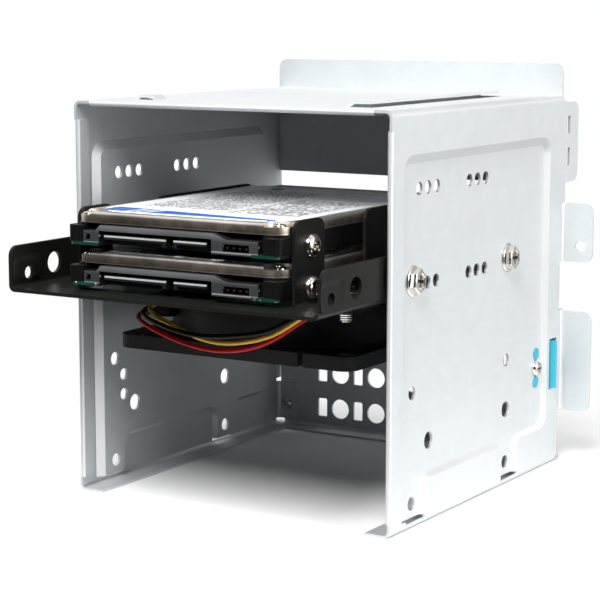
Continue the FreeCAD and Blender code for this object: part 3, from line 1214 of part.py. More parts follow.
def fan_board():
    foot = MOTOR_PLATE_BOTTOM - FAN_BOARD_THICKNESS
    return ring(BEARING_TUBE_RADIUS, FAN_BOARD_RADIUS, foot, MOTOR_PLATE_BOTTOM)


def pole_arm(half_width, start, end, foot, top, angle):
    arm = box((start, end), (-half_width, half_width), (foot, top))
    arm.rotate(V(0, 0, 0), V(0, 0, 1), angle)
    arm.translate(V(0, FAN_Y, 0))
    return arm


def pole_shoe(foot, top, angle):
    """Curved end of a pole, facing the magnet."""
    reach = 2 * POLE_RADIUS
    spread = reach * math.tan(math.radians(POLE_SHOE_HALF_ANGLE))
    wedge = slab([(0, 0), (reach, -spread), (reach, spread)], 0, on_xy(foot), V(0, 0, top - foot))
    wedge.rotate(V(0, 0, 0), V(0, 0, 1), angle)
    wedge.translate(V(0, FAN_Y, 0))
    return ring(POLE_RADIUS - POLE_SHOE, POLE_RADIUS, foot, top).common(wedge)


def stator_span():
    top = MOTOR_PLATE_BOTTOM - STATOR_DROP
    return top - STATOR_HEIGHT, top


def fan_stator():
    """Laminated core with four poles."""
    foot, top = stator_span()
    core = ring(BEARING_TUBE_RADIUS, BEARING_TUBE_RADIUS + STATOR_RING, foot, top)
    poles = []
    for index in range(POLE_COUNT):
        angle = index * 360 / POLE_COUNT
        end = POLE_RADIUS - POLE_SHOE / 2
        poles.append(pole_arm(POLE_WIDTH / 2, BEARING_TUBE_RADIUS + STATOR_RING / 2, end, foot, top, angle))
        poles.append(pole_shoe(foot, top, angle))
    return core.fuse(poles).removeSplitter()


def fan_coils():
    """One winding round each pole."""
    foot, top = stator_span()
    start = BEARING_TUBE_RADIUS + STATOR_RING + POLE_SHOE / 2
    end = math.sqrt((POLE_RADIUS - POLE_SHOE) ** 2 - (COIL_WIDTH / 2) ** 2)
    coils = []
    for index in range(POLE_COUNT):
        angle = index * 360 / POLE_COUNT
        coil = pole_arm(COIL_WIDTH / 2, start, end, foot - COIL_OVERHANG, top + COIL_OVERHANG, angle)
        coils.append(coil.cut(pole_arm(POLE_WIDTH / 2, start, end, foot, top, angle)))
    return Part.makeCompound(coils)


def blade_section(radius, chord, pitch):
    """Thin tilted rectangle that faces along the radius."""
    half = chord / 2
    middle = (HUB_BOTTOM + HUB_TOP) / 2
    turn = math.radians(pitch)
    corners = []
    for along, across in rectangle((-half, half), (-BLADE_THICKNESS / 2, BLADE_THICKNESS / 2)):
        sideways = along * math.cos(turn) - across * math.sin(turn)
        upwards = along * math.sin(turn) + across * math.cos(turn)
        corners.append(V(radius, sideways, middle + upwards))
    return Part.makePolygon(corners + corners[:1])


def fan_rotor():
    """Hub cup with twisted blades and a boss for the shaft."""
    tip = FAN_BORE - BLADE_TIP_GAP
    points = [
        (0, HUB_BOTTOM), (HUB_OUTSIDE, HUB_BOTTOM), (HUB_OUTSIDE, HUB_TOP), (HUB_INSIDE, HUB_TOP),
        (HUB_INSIDE, HUB_BOTTOM + HUB_FLOOR), (0, HUB_BOTTOM + HUB_FLOOR),
    ]
    hub = turned(points, [0, HUB_WALL, 0, 0, 0, 0], V(0, FAN_Y, 0), V(0, 0, 1))
    boss_foot = HUB_BOTTOM + HUB_FLOOR / 2
    boss_top = HUB_BOTTOM + HUB_FLOOR + SHAFT_BOSS_HEIGHT
    boss = rod(V(0, FAN_Y, boss_foot), V(0, FAN_Y, boss_top), SHAFT_RADIUS + SHAFT_BOSS_WALL)
    limit = ring(HUB_OUTSIDE - HUB_WALL / 2, tip, HUB_BOTTOM, HUB_TOP)
    blades = []
    for index in range(BLADE_COUNT):
        root = blade_section(HUB_OUTSIDE - BLADE_SINK, BLADE_ROOT_CHORD, BLADE_ROOT_PITCH)
        end = blade_section(tip + BLADE_SINK, BLADE_TIP_CHORD, BLADE_TIP_PITCH)
        blade = Part.makeLoft([root, end], True, True)
        blade.rotate(V(0, 0, 0), V(0, 0, 1), index * 360 / BLADE_COUNT)
        blade.translate(V(0, FAN_Y, 0))
        blades.append(blade.common(limit))
    shaft_hole = rod(V(0, FAN_Y, boss_foot), V(0, FAN_Y, boss_top), SHAFT_RADIUS)
    return hub.fuse([boss] + blades).cut(shaft_hole).removeSplitter()


def fan_shaft():
    foot = HUB_BOTTOM + HUB_FLOOR / 2
    return rod(V(0, FAN_Y, foot), V(0, FAN_Y, MOTOR_PLATE_BOTTOM - SHAFT_TOP_GAP), SHAFT_RADIUS)


def rotor_magnet():
    return ring(MAGNET_INSIDE, HUB_INSIDE, HUB_BOTTOM + HUB_FLOOR, HUB_TOP)


def wire_path(points):
    """Straight runs joined by tangent arcs as large as the runs allow, and the arcs' radii."""
    corners = [V(*point) for point in points]
    edges = []
    radii = []
    leaving = corners[0]
    for before, corner, after in zip(corners, corners[1:], corners[2:]):
        back = before - corner
        ahead = after - corner
        reach = WIRE_ARC_SHARE * min(back.Length, ahead.Length)
        back.normalize()
        ahead.normalize()
        half = back.getAngle(ahead) / 2
        radius = reach * math.tan(half)
        middle = (back + ahead).normalize() * (radius / math.sin(half) - radius)
        edges.append(Part.LineSegment(leaving, corner + back * reach).toShape())
        leaving = corner + ahead * reach
        edges.append(Part.Arc(corner + back * reach, corner + middle, leaving).toShape())
        radii.append(radius)
    edges.append(Part.LineSegment(leaving, corners[-1]).toShape())
    return Part.Wire(edges), radii


def wire(colour):
    path, radii = wire_path(WIRE_ROUTES[colour])
    start = V(*WIRE_ROUTES[colour][0])
    heading = V(*WIRE_ROUTES[colour][1]) - start
    section = Part.Wire(Part.Circle(start, heading, WIRE_RADIUS).toShape())
    tube = path.makePipeShell([section], True, True)
    share = tube.Volume / (math.pi * WIRE_RADIUS ** 2 * path.Length)
    print(f"{colour} wire: {path.Length:.1f} mm, volume share {share:.4f}, smallest arc {min(radii):.1f} mm")
    return tube


def lead_connector():
    """Three-pin socket lying on the fan's lower flange, open at its rear end."""
    foot = FAN_BOTTOM + FAN_FLANGE
    x = (SOCKET_X - SOCKET_WIDTH / 2, SOCKET_X + SOCKET_WIDTH / 2)
    rear = SOCKET_FRONT + SOCKET_LENGTH
    body = box(x, (SOCKET_FRONT, rear), (foot, foot + SOCKET_HEIGHT))
    half = SOCKET_MOUTH / 2
    middle = foot + SOCKET_HEIGHT / 2
    mouths = []
    for index in (-1, 0, 1):
        centre = SOCKET_X + index * SOCKET_PITCH
        depth = (rear - SOCKET_MOUTH_DEPTH, rear + OVERCUT)
        mouths.append(box((centre - half, centre + half), depth, (middle - half, middle + half)))
    return body.cut(mouths)


# Latch

def latch_base():
    """Pad inside the wall with two pins through it and half of the flexing web."""
    x = (RECESS_INSIDE - LATCH_THICKNESS, RECESS_INSIDE)
    z = (LATCH_SCREW_Z - LATCH_BASE_HEIGHT / 2, LATCH_SCREW_Z + LATCH_BASE_HEIGHT / 2)
    pad = box(x, (LATCH_PIN_Y - LATCH_BASE_AHEAD, LATCH_BASE_REAR), z)
    web_x = (LATCH_HINGE_X - LATCH_WEB / 2, LATCH_HINGE_X + LATCH_WEB / 2)
    bar_z = (LATCH_SCREW_Z - LATCH_BAR_HEIGHT / 2, LATCH_SCREW_Z + LATCH_BAR_HEIGHT / 2)
    adds = [box(web_x, (LATCH_BASE_REAR, LATCH_BASE_REAR + LATCH_WEB_LENGTH), bar_z)]
    for pin_z in LATCH_PINS_Z:
        start = V(RECESS_INSIDE, LATCH_PIN_Y, pin_z)
        adds.append(rod(start, start + V(SHEET + LATCH_PIN_PROUD, 0, 0), LATCH_PIN_RADIUS))
    tip = V(RECESS_INSIDE - LATCH_SCREW_BITE, LATCH_PIN_Y, LATCH_SCREW_Z)
    hole = rod(tip, V(RECESS_INSIDE, LATCH_PIN_Y, LATCH_SCREW_Z), LATCH_SCREW_RADIUS + THREAD_CLEARANCE)
    return pad.fuse(adds).cut(hole).removeSplitter()


def latch_arm():
    """Arm with the bar that stands out through the wall's slot."""
    z = (LATCH_SCREW_Z - LATCH_BAR_HEIGHT / 2, LATCH_SCREW_Z + LATCH_BAR_HEIGHT / 2)
    half = LATCH_ARM_THICKNESS / 2
    plate_y = (LATCH_ARM_FRONT, LATCH_ARM_FRONT + LATCH_ARM_LENGTH)
    plate = box((LATCH_HINGE_X - half, LATCH_HINGE_X + half), plate_y, z)
    web_x = (LATCH_HINGE_X - LATCH_WEB / 2, LATCH_HINGE_X + LATCH_WEB / 2)
    web = box(web_x, (LATCH_ARM_FRONT - LATCH_WEB_LENGTH, LATCH_ARM_FRONT), z)
    bar_y = (LATCH_BAR_FRONT, LATCH_BAR_FRONT + LATCH_BAR_LENGTH)
    top_view = rectangle((LATCH_HINGE_X, WALL_X + LATCH_BAR_PROUD), bar_y)
    bar = slab(top_view, [0, LATCH_BAR_EDGE, LATCH_BAR_EDGE, 0], on_xy(z[0]), V(0, 0, LATCH_BAR_HEIGHT))
    return plate.fuse([web, bar]).removeSplitter()


def latch_screw():
    head = (LATCH_SCREW_HEAD_RADIUS, LATCH_SCREW_HEAD_HEIGHT)
    seat = V(RECESS_FACE, LATCH_PIN_Y, LATCH_SCREW_Z)
    return pan_screw(seat, V(1, 0, 0), *head, LATCH_SCREW_RADIUS, SHEET + LATCH_SCREW_BITE)


def pieces():
    """Every piece by its name."""
    made = {
        "cage_shell": cage_shell(),
        "rear_upper_panel": rear_upper_panel(),
        "rear_lower_panel": rear_lower_panel(),
        "panel_rivets": panel_rivets(),
        "carrier_tray": carrier_tray(),
        "bay_screws": bay_screws(),
        "drive_screws": drive_screws(),
        "fan_screws": fan_screws(),
        "fan_frame": fan_frame(),
        "fan_bearing": fan_bearing(),
        "fan_board": fan_board(),
        "fan_stator": fan_stator(),
        "fan_coils": fan_coils(),
        "fan_rotor": fan_rotor(),
        "fan_shaft": fan_shaft(),
        "rotor_magnet": rotor_magnet(),
        "lead_connector": lead_connector(),
        "latch_base": latch_base(),
        "latch_arm": latch_arm(),
        "latch_screw": latch_screw(),
    }
    for colour in WIRE_ROUTES:
        made[f"fan_lead_{colour}"] = wire(colour)
    for place, bottom in DRIVE_BOTTOMS.items():
        for name, make in DRIVE_PIECES.items():
            made[f"{place}_{name}"] = make().translated(V(0, 0, bottom))
    return made


def main():
    os.makedirs("parts", exist_ok=True)
    for name, shape in pieces().items():
        shape.translated(-ORIGIN).exportStep(f"parts/{name}.step")


main()
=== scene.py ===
"""Looks of the drive cage with its carrier tray, two slim drives, cooling fan and release latch.

Lengths are metres, unless a name ends in _MM or a note says millimetres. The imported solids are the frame.
The screws, the rivets and the fan's three wires are made here in finer detail, and every other node keeps
its shape and gets its finish.
"""

import itertools
import json
import math

import bmesh
import bpy
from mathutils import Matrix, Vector


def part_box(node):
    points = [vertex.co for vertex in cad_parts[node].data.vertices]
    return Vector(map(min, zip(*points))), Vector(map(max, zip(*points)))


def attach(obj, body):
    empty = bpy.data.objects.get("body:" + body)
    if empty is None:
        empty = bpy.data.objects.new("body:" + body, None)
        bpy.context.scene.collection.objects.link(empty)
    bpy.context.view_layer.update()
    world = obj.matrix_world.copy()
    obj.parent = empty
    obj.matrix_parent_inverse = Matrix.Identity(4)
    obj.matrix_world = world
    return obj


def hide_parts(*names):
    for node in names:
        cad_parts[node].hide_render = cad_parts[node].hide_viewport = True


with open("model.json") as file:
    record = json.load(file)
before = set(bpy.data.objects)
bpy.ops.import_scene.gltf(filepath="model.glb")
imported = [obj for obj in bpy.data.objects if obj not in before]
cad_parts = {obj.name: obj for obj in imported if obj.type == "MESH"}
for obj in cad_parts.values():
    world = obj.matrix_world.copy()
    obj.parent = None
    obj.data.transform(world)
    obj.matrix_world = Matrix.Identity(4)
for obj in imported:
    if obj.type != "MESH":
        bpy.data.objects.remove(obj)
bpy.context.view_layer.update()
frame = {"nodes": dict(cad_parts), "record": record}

MM = 0.001
FLOAT = "NodeSocketFloat"
VECTOR = "NodeSocketVector"

# Camera of the photograph
CAMERA_PLACE = Vector((0.29788, -0.49507, 0.14425))
CAMERA_AZIMUTH = math.radians(31.636)
CAMERA_ELEVATION = math.radians(8.611)
CAMERA_LENS_MM = 116.37
CAMERA_SENSOR_MM = 36.0

# Fan lead: the routes of the part's source, in its drawing frame
DRAWING_ORIGIN_MM = Vector((4.4, 44.25, 0.0))
WIRE_RADIUS = 0.7 * MM
WIRE_ROUNDNESS = 4
WIRE_ROUTES_MM = {
    "yellow": [
        (-27.6, 9.0, 58.4), (-27.6, 4.6, 58.4), (-27.0, -0.4, 57.8), (-22.7, -3.0, 56.1),
        (-17.0, -4.2, 54.6), (-12.6, -4.8, 53.3), (-5.2, -5.2, 51.2), (2.2, -5.4, 50.6),
        (9.6, -5.4, 51.6), (15.7, -5.3, 53.2), (20.1, -5.1, 55.0), (24.0, -4.9, 57.4),
        (28.0, -4.5, 60.2), (33.6, -3.3, 62.6), (40.2, -1.4, 63.5), (44.0, 5.8, 63.7),
        (44.4, 16.0, 63.4), (44.3, 27.0, 60.8), (43.8, 38.0, 57.4), (43.0, 50.0, 54.8),
        (41.4, 60.0, 52.7), (38.54, 65.8, 51.35), (38.54, 69.5, 51.35),
    ],
    "black": [
        (-30.2, 9.0, 57.0), (-30.2, 5.0, 57.0), (-29.6, 0.0, 56.5), (-24.9, -4.0, 55.3),
        (-19.3, -5.6, 54.3), (-13.0, -6.6, 53.1), (-6.0, -7.1, 52.4), (0.7, -7.2, 52.6),
        (7.3, -7.1, 53.5), (13.4, -7.0, 54.4), (18.5, -6.8, 55.7), (22.8, -6.5, 57.8),
        (31.4, -5.4, 62.4), (41.2, -3.2, 63.8), (46.0, 5.0, 63.8), (46.4, 16.0, 63.5),
        (46.2, 28.0, 61.6), (45.6, 39.0, 59.2), (43.6, 50.0, 57.2), (39.0, 59.4, 53.6),
        (36.0, 65.2, 51.35), (36.0, 69.5, 51.35),
    ],
    "red": [
        (-32.8, 9.0, 55.6), (-32.8, 5.2, 55.6), (-31.4, 0.2, 54.6), (-27.6, -2.2, 53.5),
        (-22.6, -3.2, 52.0), (-16.7, -3.6, 50.3), (-10.7, -3.6, 48.9), (-4.7, -3.6, 48.1),
        (1.1, -3.6, 48.1), (6.9, -3.6, 48.9), (12.6, -3.5, 50.4), (18.0, -3.3, 52.8),
        (22.2, -3.1, 55.5), (26.2, -2.7, 58.4), (31.6, -1.6, 61.4), (38.0, -0.4, 63.0),
        (41.7, 5.0, 63.6), (41.9, 15.0, 63.4), (41.9, 25.0, 59.8), (42.0, 34.0, 56.2),
        (42.2, 43.0, 53.4), (41.0, 52.2, 51.9), (37.2, 60.8, 51.4), (33.46, 65.4, 51.35),
        (33.46, 69.5, 51.35),
    ],
}


# Camera and cords

def set_camera():
    out = math.cos(CAMERA_ELEVATION)
    back = Vector((
        math.sin(CAMERA_AZIMUTH) * out,
        -math.cos(CAMERA_AZIMUTH) * out,
        math.sin(CAMERA_ELEVATION),
    ))
    lens = bpy.data.cameras.new("bench_camera")
    lens.sensor_width = CAMERA_SENSOR_MM
    lens.lens = CAMERA_LENS_MM
    camera = bpy.data.objects.new("bench_camera", lens)
    camera.location = CAMERA_PLACE
    camera.rotation_mode = "QUATERNION"
    camera.rotation_quaternion = (-back).to_track_quat("-Z", "Y")
    show(camera)
    bpy.context.scene.camera = camera


def show(thing):
    bpy.context.scene.collection.objects.link(thing)


def row_place(place_mm):
    """A place of the source's drawing frame in the row frame."""
    return (Vector(place_mm) - DRAWING_ORIGIN_MM) * MM


def lay_wire(colour, finish):
    """One insulated wire of the fan's lead, from the boss on the fan's frame to the lead's connector."""
    name = f"fan_wire_{colour}"
    curve = bpy.data.curves.new(name, "CURVE")
    curve.dimensions = "3D"
    curve.bevel_depth = WIRE_RADIUS
    curve.bevel_resolution = WIRE_ROUNDNESS
    curve.use_fill_caps = True
    curve.materials.append(finish)
    route = [row_place(place) for place in WIRE_ROUTES_MM[colour]]
    spline = curve.splines.new("NURBS")
    spline.points.add(len(route) - 1)
    for point, place in zip(spline.points, route):
        point.co = (*place, 1.0)
    spline.order_u = 3
    spline.use_endpoint_u = True
    spline.use_smooth = True
    wire = bpy.data.objects.new(name, curve)
    show(wire)
    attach(wire, "cage")
    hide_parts(f"fan_lead_{colour}")


# Node helpers

def plug(tree, socket, value):
    """Links the value where it is a socket and sets it where it is a number, colour or vector."""
    if isinstance(value, bpy.types.NodeSocket):
        tree.links.new(value, socket)
    else:
        socket.default_value = value


def add(tree, kind, inputs=None, **settings):
    node = tree.nodes.new(kind)
    for key, value in settings.items():
        setattr(node, key, value)
    for key, value in (inputs or {}).items():
        plug(tree, node.inputs[key], value)
    return node


def named(sockets, identifier):
    return next(socket for socket in sockets if socket.identifier == identifier)


def calc(tree, operation, *values):
    node = add(tree, "ShaderNodeMath", operation=operation)
    for socket, value in zip(node.inputs, values):
        plug(tree, socket, value)
    return node.outputs["Value"]


def blend_colour(tree, share, first, second):
    node = add(tree, "ShaderNodeMix", data_type="RGBA")
    plug(tree, named(node.inputs, "Factor_Float"), share)
    for identifier, value in (("A_Color", first), ("B_Color", second)):
        plug(tree, named(node.inputs, identifier), value if hasattr(value, "links") else (*value, 1.0))
    return named(node.outputs, "Result_Color")


def spread(tree, value, start, end, low, high):
    """The value's stretch from start to end, turned into low to high and held there outside it."""
    inputs = {"Value": value, "From Min": start, "From Max": end, "To Min": low, "To Max": high}
    return add(tree, "ShaderNodeMapRange", inputs).outputs["Result"]


def weigh(tree, *parts, start=0.0):
    """The start value plus each part's value times its weight."""
    total = start
    for value, weight in parts:
        total = calc(tree, "MULTIPLY_ADD", value, weight, total)
    return total


def fold(tree, operation, first, *others):
    """Takes in the values one after the other, such as with MULTIPLY or MAXIMUM."""
    for other in others:
        first = calc(tree, operation, first, other)
    return first


def opposite(tree, mask):
    return calc(tree, "SUBTRACT", 1.0, mask)


def split(tree, place):
    return add(tree, "ShaderNodeSeparateXYZ", {"Vector": place}).outputs


def distance(tree, x, y):
    """Distance from the origin of a place in a plane."""
    squares = calc(tree, "ADD", calc(tree, "MULTIPLY", x, x), calc(tree, "MULTIPLY", y, y))
    return calc(tree, "SQRT", squares)


def scaled(tree, place, scale, turn=(0.0, 0.0, 0.0)):
    inputs = {"Vector": place, "Scale": scale, "Rotation": turn}
    return add(tree, "ShaderNodeMapping", inputs).outputs["Vector"]


def noise(tree, place, scale, detail=2.0):
    inputs = {"Vector": place, "Scale": scale, "Detail": detail}
    return add(tree, "ShaderNodeTexNoise", inputs).outputs["Fac"]


def between(tree, value, low, high):
    """One where the value lies between low and high, and zero elsewhere."""
    above = calc(tree, "GREATER_THAN", value, low)
    return calc(tree, "MULTIPLY", above, calc(tree, "LESS_THAN", value, high))


def effect(name, inputs, outputs):
    """New shader group, with the sockets that its nodes read and fill."""
    tree = bpy.data.node_groups.new(name, "ShaderNodeTree")
    for label, kind in inputs:
        tree.interface.new_socket(label, in_out="INPUT", socket_type=kind)
    for label in outputs:
        tree.interface.new_socket(label, in_out="OUTPUT", socket_type=FLOAT)
    given = tree.nodes.new("NodeGroupInput").outputs
    result = tree.nodes.new("NodeGroupOutput").inputs
    return tree, given, result


def use(tree, group, **inputs):
    node = tree.nodes.new("ShaderNodeGroup")
    node.node_tree = group
    for label, value in inputs.items():
        plug(tree, node.inputs[label], value)
    return node.outputs


def new_finish(name):
    """New material with its tree, its shader and its Object coordinates."""
    finish = bpy.data.materials.new(name)
    finish.use_nodes = True
    tree = finish.node_tree
    place = tree.nodes.new("ShaderNodeTexCoord").outputs["Object"]
    return finish, tree, tree.nodes["Principled BSDF"], place


def dress(tree, shader, **sockets):
    for label, value in sockets.items():
        plug(tree, shader.inputs[label.replace("_", " ")], value)


def emboss(tree, shader, height, depth, strength=1.0):
    inputs = {"Height": height, "Distance": depth, "Strength": strength}
    plug(tree, shader.inputs["Normal"], add(tree, "ShaderNodeBump", inputs).outputs["Normal"])


# Shared surface effects, with their scales as waves or cells on a metre

ROLLING_LINES = (900.0, 16.0, 900.0)
TOOTH_SCALE = 2800.0
SCRATCH_WAYS = (((0.5, 0.2, 0.9), (190.0, 9.0, 70.0)), ((1.1, 0.7, 0.3), (9.0, 150.0, 110.0)))
SCRATCH_WIDTH = 0.02
PATCH_SCALE = 70.0
PATCH_RANGE = (0.52, 0.66)
SMUDGE_SCALE = 38.0
SMUDGE_RANGE = (0.35, 0.7)
UNEVEN_SCALE = 55.0
BEND_RANGE = (0.92, 0.99)
UNDERSIDE_RANGE = (-0.3, -0.05)


def sheet_grain():
    """Rolled zinc-coated sheet: faint spangle, rolling lines along the cage and a fine matt tooth."""
    inputs = [("Place", VECTOR), ("Spangle", FLOAT)]
    tree, given, result = effect("sheet_grain", inputs, ["Tone", "Height"])
    cell_inputs = {"Vector": given["Place"], "Scale": given["Spangle"]}
    cells = add(tree, "ShaderNodeTexVoronoi", cell_inputs, feature="SMOOTH_F1").outputs["Color"]
    spangle = add(tree, "ShaderNodeSeparateColor", {"Color": cells}).outputs["Red"]
    lines = noise(tree, scaled(tree, given["Place"], ROLLING_LINES), 1.0, 3.0)
    tooth = noise(tree, given["Place"], TOOTH_SCALE)
    plug(tree, result["Tone"], weigh(tree, (lines, 0.45), (spangle, 0.4), (tooth, 0.15)))
    plug(tree, result["Height"], weigh(tree, (tooth, 0.6), (lines, 0.4)))
    return tree


def handling_marks():
    """Hairline scratches in two directions and soft smudges from handling."""
    inputs = [("Place", VECTOR), ("Density", FLOAT)]
    tree, given, result = effect("handling_marks", inputs, ["Scratches", "Smudge"])
    patch = spread(tree, noise(tree, given["Place"], PATCH_SCALE), *PATCH_RANGE, 0.0, 1.0)
    hairs = []
    for turn, scale in SCRATCH_WAYS:
        cell_inputs = {"Vector": scaled(tree, given["Place"], scale, turn), "Scale": given["Density"]}
        cells = add(tree, "ShaderNodeTexVoronoi", cell_inputs, feature="DISTANCE_TO_EDGE")
        hair = spread(tree, cells.outputs["Distance"], 0.0, SCRATCH_WIDTH, 1.0, 0.0)
        hairs.append(calc(tree, "MULTIPLY", hair, patch))
    plug(tree, result["Scratches"], fold(tree, "MAXIMUM", *hairs))
    smudge = noise(tree, given["Place"], SMUDGE_SCALE, 4.0)
    plug(tree, result["Smudge"], spread(tree, smudge, *SMUDGE_RANGE, 0.0, 1.0))
    return tree


def moulded_grain():
    """Skin of moulded plastic or sprayed paint: small soft pits over a slow unevenness."""
    inputs = [("Place", VECTOR), ("Grain", FLOAT)]
    tree, given, result = effect("moulded_grain", inputs, ["Tone", "Height"])
    cell_inputs = {"Vector": given["Place"], "Scale": given["Grain"]}
    pits = add(tree, "ShaderNodeTexVoronoi", cell_inputs).outputs["Distance"]
    fine = noise(tree, given["Place"], given["Grain"], 3.0)
    slow = noise(tree, given["Place"], UNEVEN_SCALE, 3.0)
    plug(tree, result["Height"], weigh(tree, (fine, 0.5), (pits, 0.5)))
    plug(tree, result["Tone"], weigh(tree, (fine, 0.4), (slow, 0.6)))
    return tree


def bend_highlight_mask():
    """Share of a painted highlight: one on bends, slopes and rounded corners, and zero on flat faces and on
    whatever faces down.
    """
    tree, given, result = effect("bend_highlight_mask", [("Facing", VECTOR)], ["Mask"])
    axes = split(tree, given["Facing"])
    sizes = [calc(tree, "ABSOLUTE", axes[axis]) for axis in ("X", "Y", "Z")]
    bends = spread(tree, fold(tree, "MAXIMUM", *sizes), *BEND_RANGE, 1.0, 0.0)
    upper = spread(tree, axes["Z"], *UNDERSIDE_RANGE, 0.0, 1.0)
    plug(tree, result["Mask"], calc(tree, "MULTIPLY", bends, upper))
    return tree


SHEET_GRAIN = sheet_grain()
HANDLING_MARKS = handling_marks()
MOULDED_GRAIN = moulded_grain()
BEND_HIGHLIGHT_MASK = bend_highlight_mask()


# Finishes

# Bare metals: dark and bright colour, roughness, spangles on a metre
METALS = {
    "rivet_steel": ((0.6, 0.61, 0.62), (0.74, 0.75, 0.76), 0.12, 700.0),
    "screw_nickel": ((0.68, 0.65, 0.6), (0.84, 0.81, 0.75), 0.06, 900.0),
    "contact_gold": ((0.72, 0.44, 0.2), (0.9, 0.62, 0.34), 0.22, 2000.0),
    "arm_aluminium": ((0.76, 0.77, 0.78), (0.88, 0.88, 0.89), 0.26, 800.0),
    "magnet_nickel": ((0.66, 0.64, 0.6), (0.76, 0.74, 0.7), 0.18, 900.0),
    "bearing_bronze": ((0.5, 0.3, 0.14), (0.66, 0.43, 0.22), 0.34, 1500.0),
    "core_steel": ((0.34, 0.35, 0.36), (0.5, 0.51, 0.52), 0.36, 900.0),
    "shaft_steel": ((0.66, 0.67, 0.68), (0.8, 0.81, 0.82), 0.14, 1500.0),
}

# Paints and plastics: dark and bright colour, roughness, grains on a metre, grain depth in millimetres
# and specular level
COATS = {
    "tray_black": ((0.008, 0.008, 0.008), (0.013, 0.013, 0.012), 0.32, 1500.0, 0.02, 0.14),
    "drive_casting": ((0.004, 0.004, 0.004), (0.008, 0.008, 0.008), 0.36, 1900.0, 0.03, 0.08),
    "fan_black": ((0.01, 0.01, 0.0105), (0.019, 0.019, 0.02), 0.42, 1700.0, 0.04, 0.5),
    "magnet_rubber": ((0.03, 0.028, 0.027), (0.05, 0.047, 0.045), 0.6, 2200.0, 0.04, 0.5),
    "wire_yellow": ((0.72, 0.4, 0.012), (0.86, 0.53, 0.03), 0.3, 2600.0, 0.015, 0.5),
    "wire_red": ((0.42, 0.004, 0.008), (0.55, 0.008, 0.014), 0.3, 2600.0, 0.015, 0.2),
    "wire_black": ((0.003, 0.003, 0.003), (0.007, 0.007, 0.007), 0.34, 2600.0, 0.015, 0.15),
    "latch_blue": ((0.03, 0.335, 0.47), (0.05, 0.405, 0.535), 0.34, 2000.0, 0.02, 0.5),
}

TONE_RANGE = (0.3, 0.7)
METAL_GLINT = 0.4
COAT_GLINT = 0.35
SCRATCH_CUT = -0.5
METAL_GRAIN_DEPTH = 0.01 * MM
COAT_DENSITY = 0.8
COAT_RELIEF = 0.6

ZINC_DARK = (0.638, 0.662, 0.672)
ZINC_BRIGHT = (0.66, 0.685, 0.695)
ZINC_HIGHLIGHT = (0.79, 0.8, 0.81)
ZINC_ROUGHNESS = 0.72
ZINC_SPANGLE = 260.0

FOOT_MARGIN = 0.02 * MM
CUT_MARGIN = 0.03 * MM


def tone_share(tree, grain, wear, glint):
    """Share of a finish's bright colour, by the grain's tone and more along scratches."""
    tone = spread(tree, grain["Tone"], *TONE_RANGE, 0.0, 1.0)
    return weigh(tree, (wear["Scratches"], glint), start=tone)


def engrave(tree, shader, grain, wear, strength):
    """Bump of a metal's grain, with the scratches cut into it."""
    height = weigh(tree, (wear["Scratches"], SCRATCH_CUT), start=grain["Height"])
    emboss(tree, shader, height, METAL_GRAIN_DEPTH, strength)


def bare_metal(name, dark, bright, roughness, spangle):
    """Metal with rolled grain, hairline scratches and smudges in its gloss."""
    finish, tree, shader, place = new_finish(name)
    grain = use(tree, SHEET_GRAIN, Place=place, Spangle=spangle)
    wear = use(tree, HANDLING_MARKS, Place=place, Density=1.0)
    colour = blend_colour(tree, tone_share(tree, grain, wear, METAL_GLINT), dark, bright)
    gloss = weigh(tree, (wear["Smudge"], 0.06), (grain["Tone"], 0.1), start=roughness)
    dress(tree, shader, Metallic=1.0, Base_Color=colour, Roughness=gloss)
    engrave(tree, shader, grain, wear, 0.4)
    return finish


def cage_sheet():
    """Matt zinc-coated sheet with faint rolling lines, painted brighter as a highlight on its bends and
    pressed slopes.
    """
    finish, tree, shader, place = new_finish("cage_steel")
    facing = tree.nodes.new("ShaderNodeTexCoord").outputs["Normal"]
    bends = use(tree, BEND_HIGHLIGHT_MASK, Facing=facing)["Mask"]
    grain = use(tree, SHEET_GRAIN, Place=place, Spangle=ZINC_SPANGLE)
    wear = use(tree, HANDLING_MARKS, Place=place, Density=1.0)
    sheet = blend_colour(tree, tone_share(tree, grain, wear, METAL_GLINT), ZINC_DARK, ZINC_BRIGHT)
    # Painted highlight: bends and pressed slopes that do not face down are blended towards a pale colour.
    colour = blend_colour(tree, bends, sheet, ZINC_HIGHLIGHT)
    gloss = weigh(tree, (wear["Smudge"], 0.03), (bends, -0.2), start=ZINC_ROUGHNESS)
    dress(tree, shader, Metallic=1.0, Base_Color=colour, Roughness=gloss)
    engrave(tree, shader, grain, wear, 0.2)
    return finish


def coated(name, dark, bright, roughness, grain_scale, depth_mm, specular):
    """Paint or moulded plastic with its own skin, a little uneven in tone and gloss."""
    finish, tree, shader, place = new_finish(name)
    grain = use(tree, MOULDED_GRAIN, Place=place, Grain=grain_scale)
    wear = use(tree, HANDLING_MARKS, Place=place, Density=COAT_DENSITY)
    colour = blend_colour(tree, tone_share(tree, grain, wear, COAT_GLINT), dark, bright)
    gloss = weigh(tree, (wear["Smudge"], 0.08), start=roughness)
    dress(tree, shader, Base_Color=colour, Roughness=gloss, Specular_IOR_Level=specular)
    emboss(tree, shader, grain["Height"], depth_mm * MM, COAT_RELIEF)
    return finish


def drive_height(tree, axes, piece):
    """Height in millimetres above the foot of a piece that each of the two stacked drives has."""
    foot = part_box(f"lower_{piece}")[0].z
    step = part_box(f"upper_{piece}")[0].z - foot
    above = calc(tree, "SUBTRACT", axes["Z"], foot - FOOT_MARGIN)
    return calc(tree, "DIVIDE", calc(tree, "MODULO", above, step), MM)


def drive_depth(tree, axes, piece):
    """Depth in millimetres behind the front of a piece that both drives have."""
    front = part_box(f"upper_{piece}")[0].y
    return calc(tree, "DIVIDE", calc(tree, "SUBTRACT", axes["Y"], front), MM)


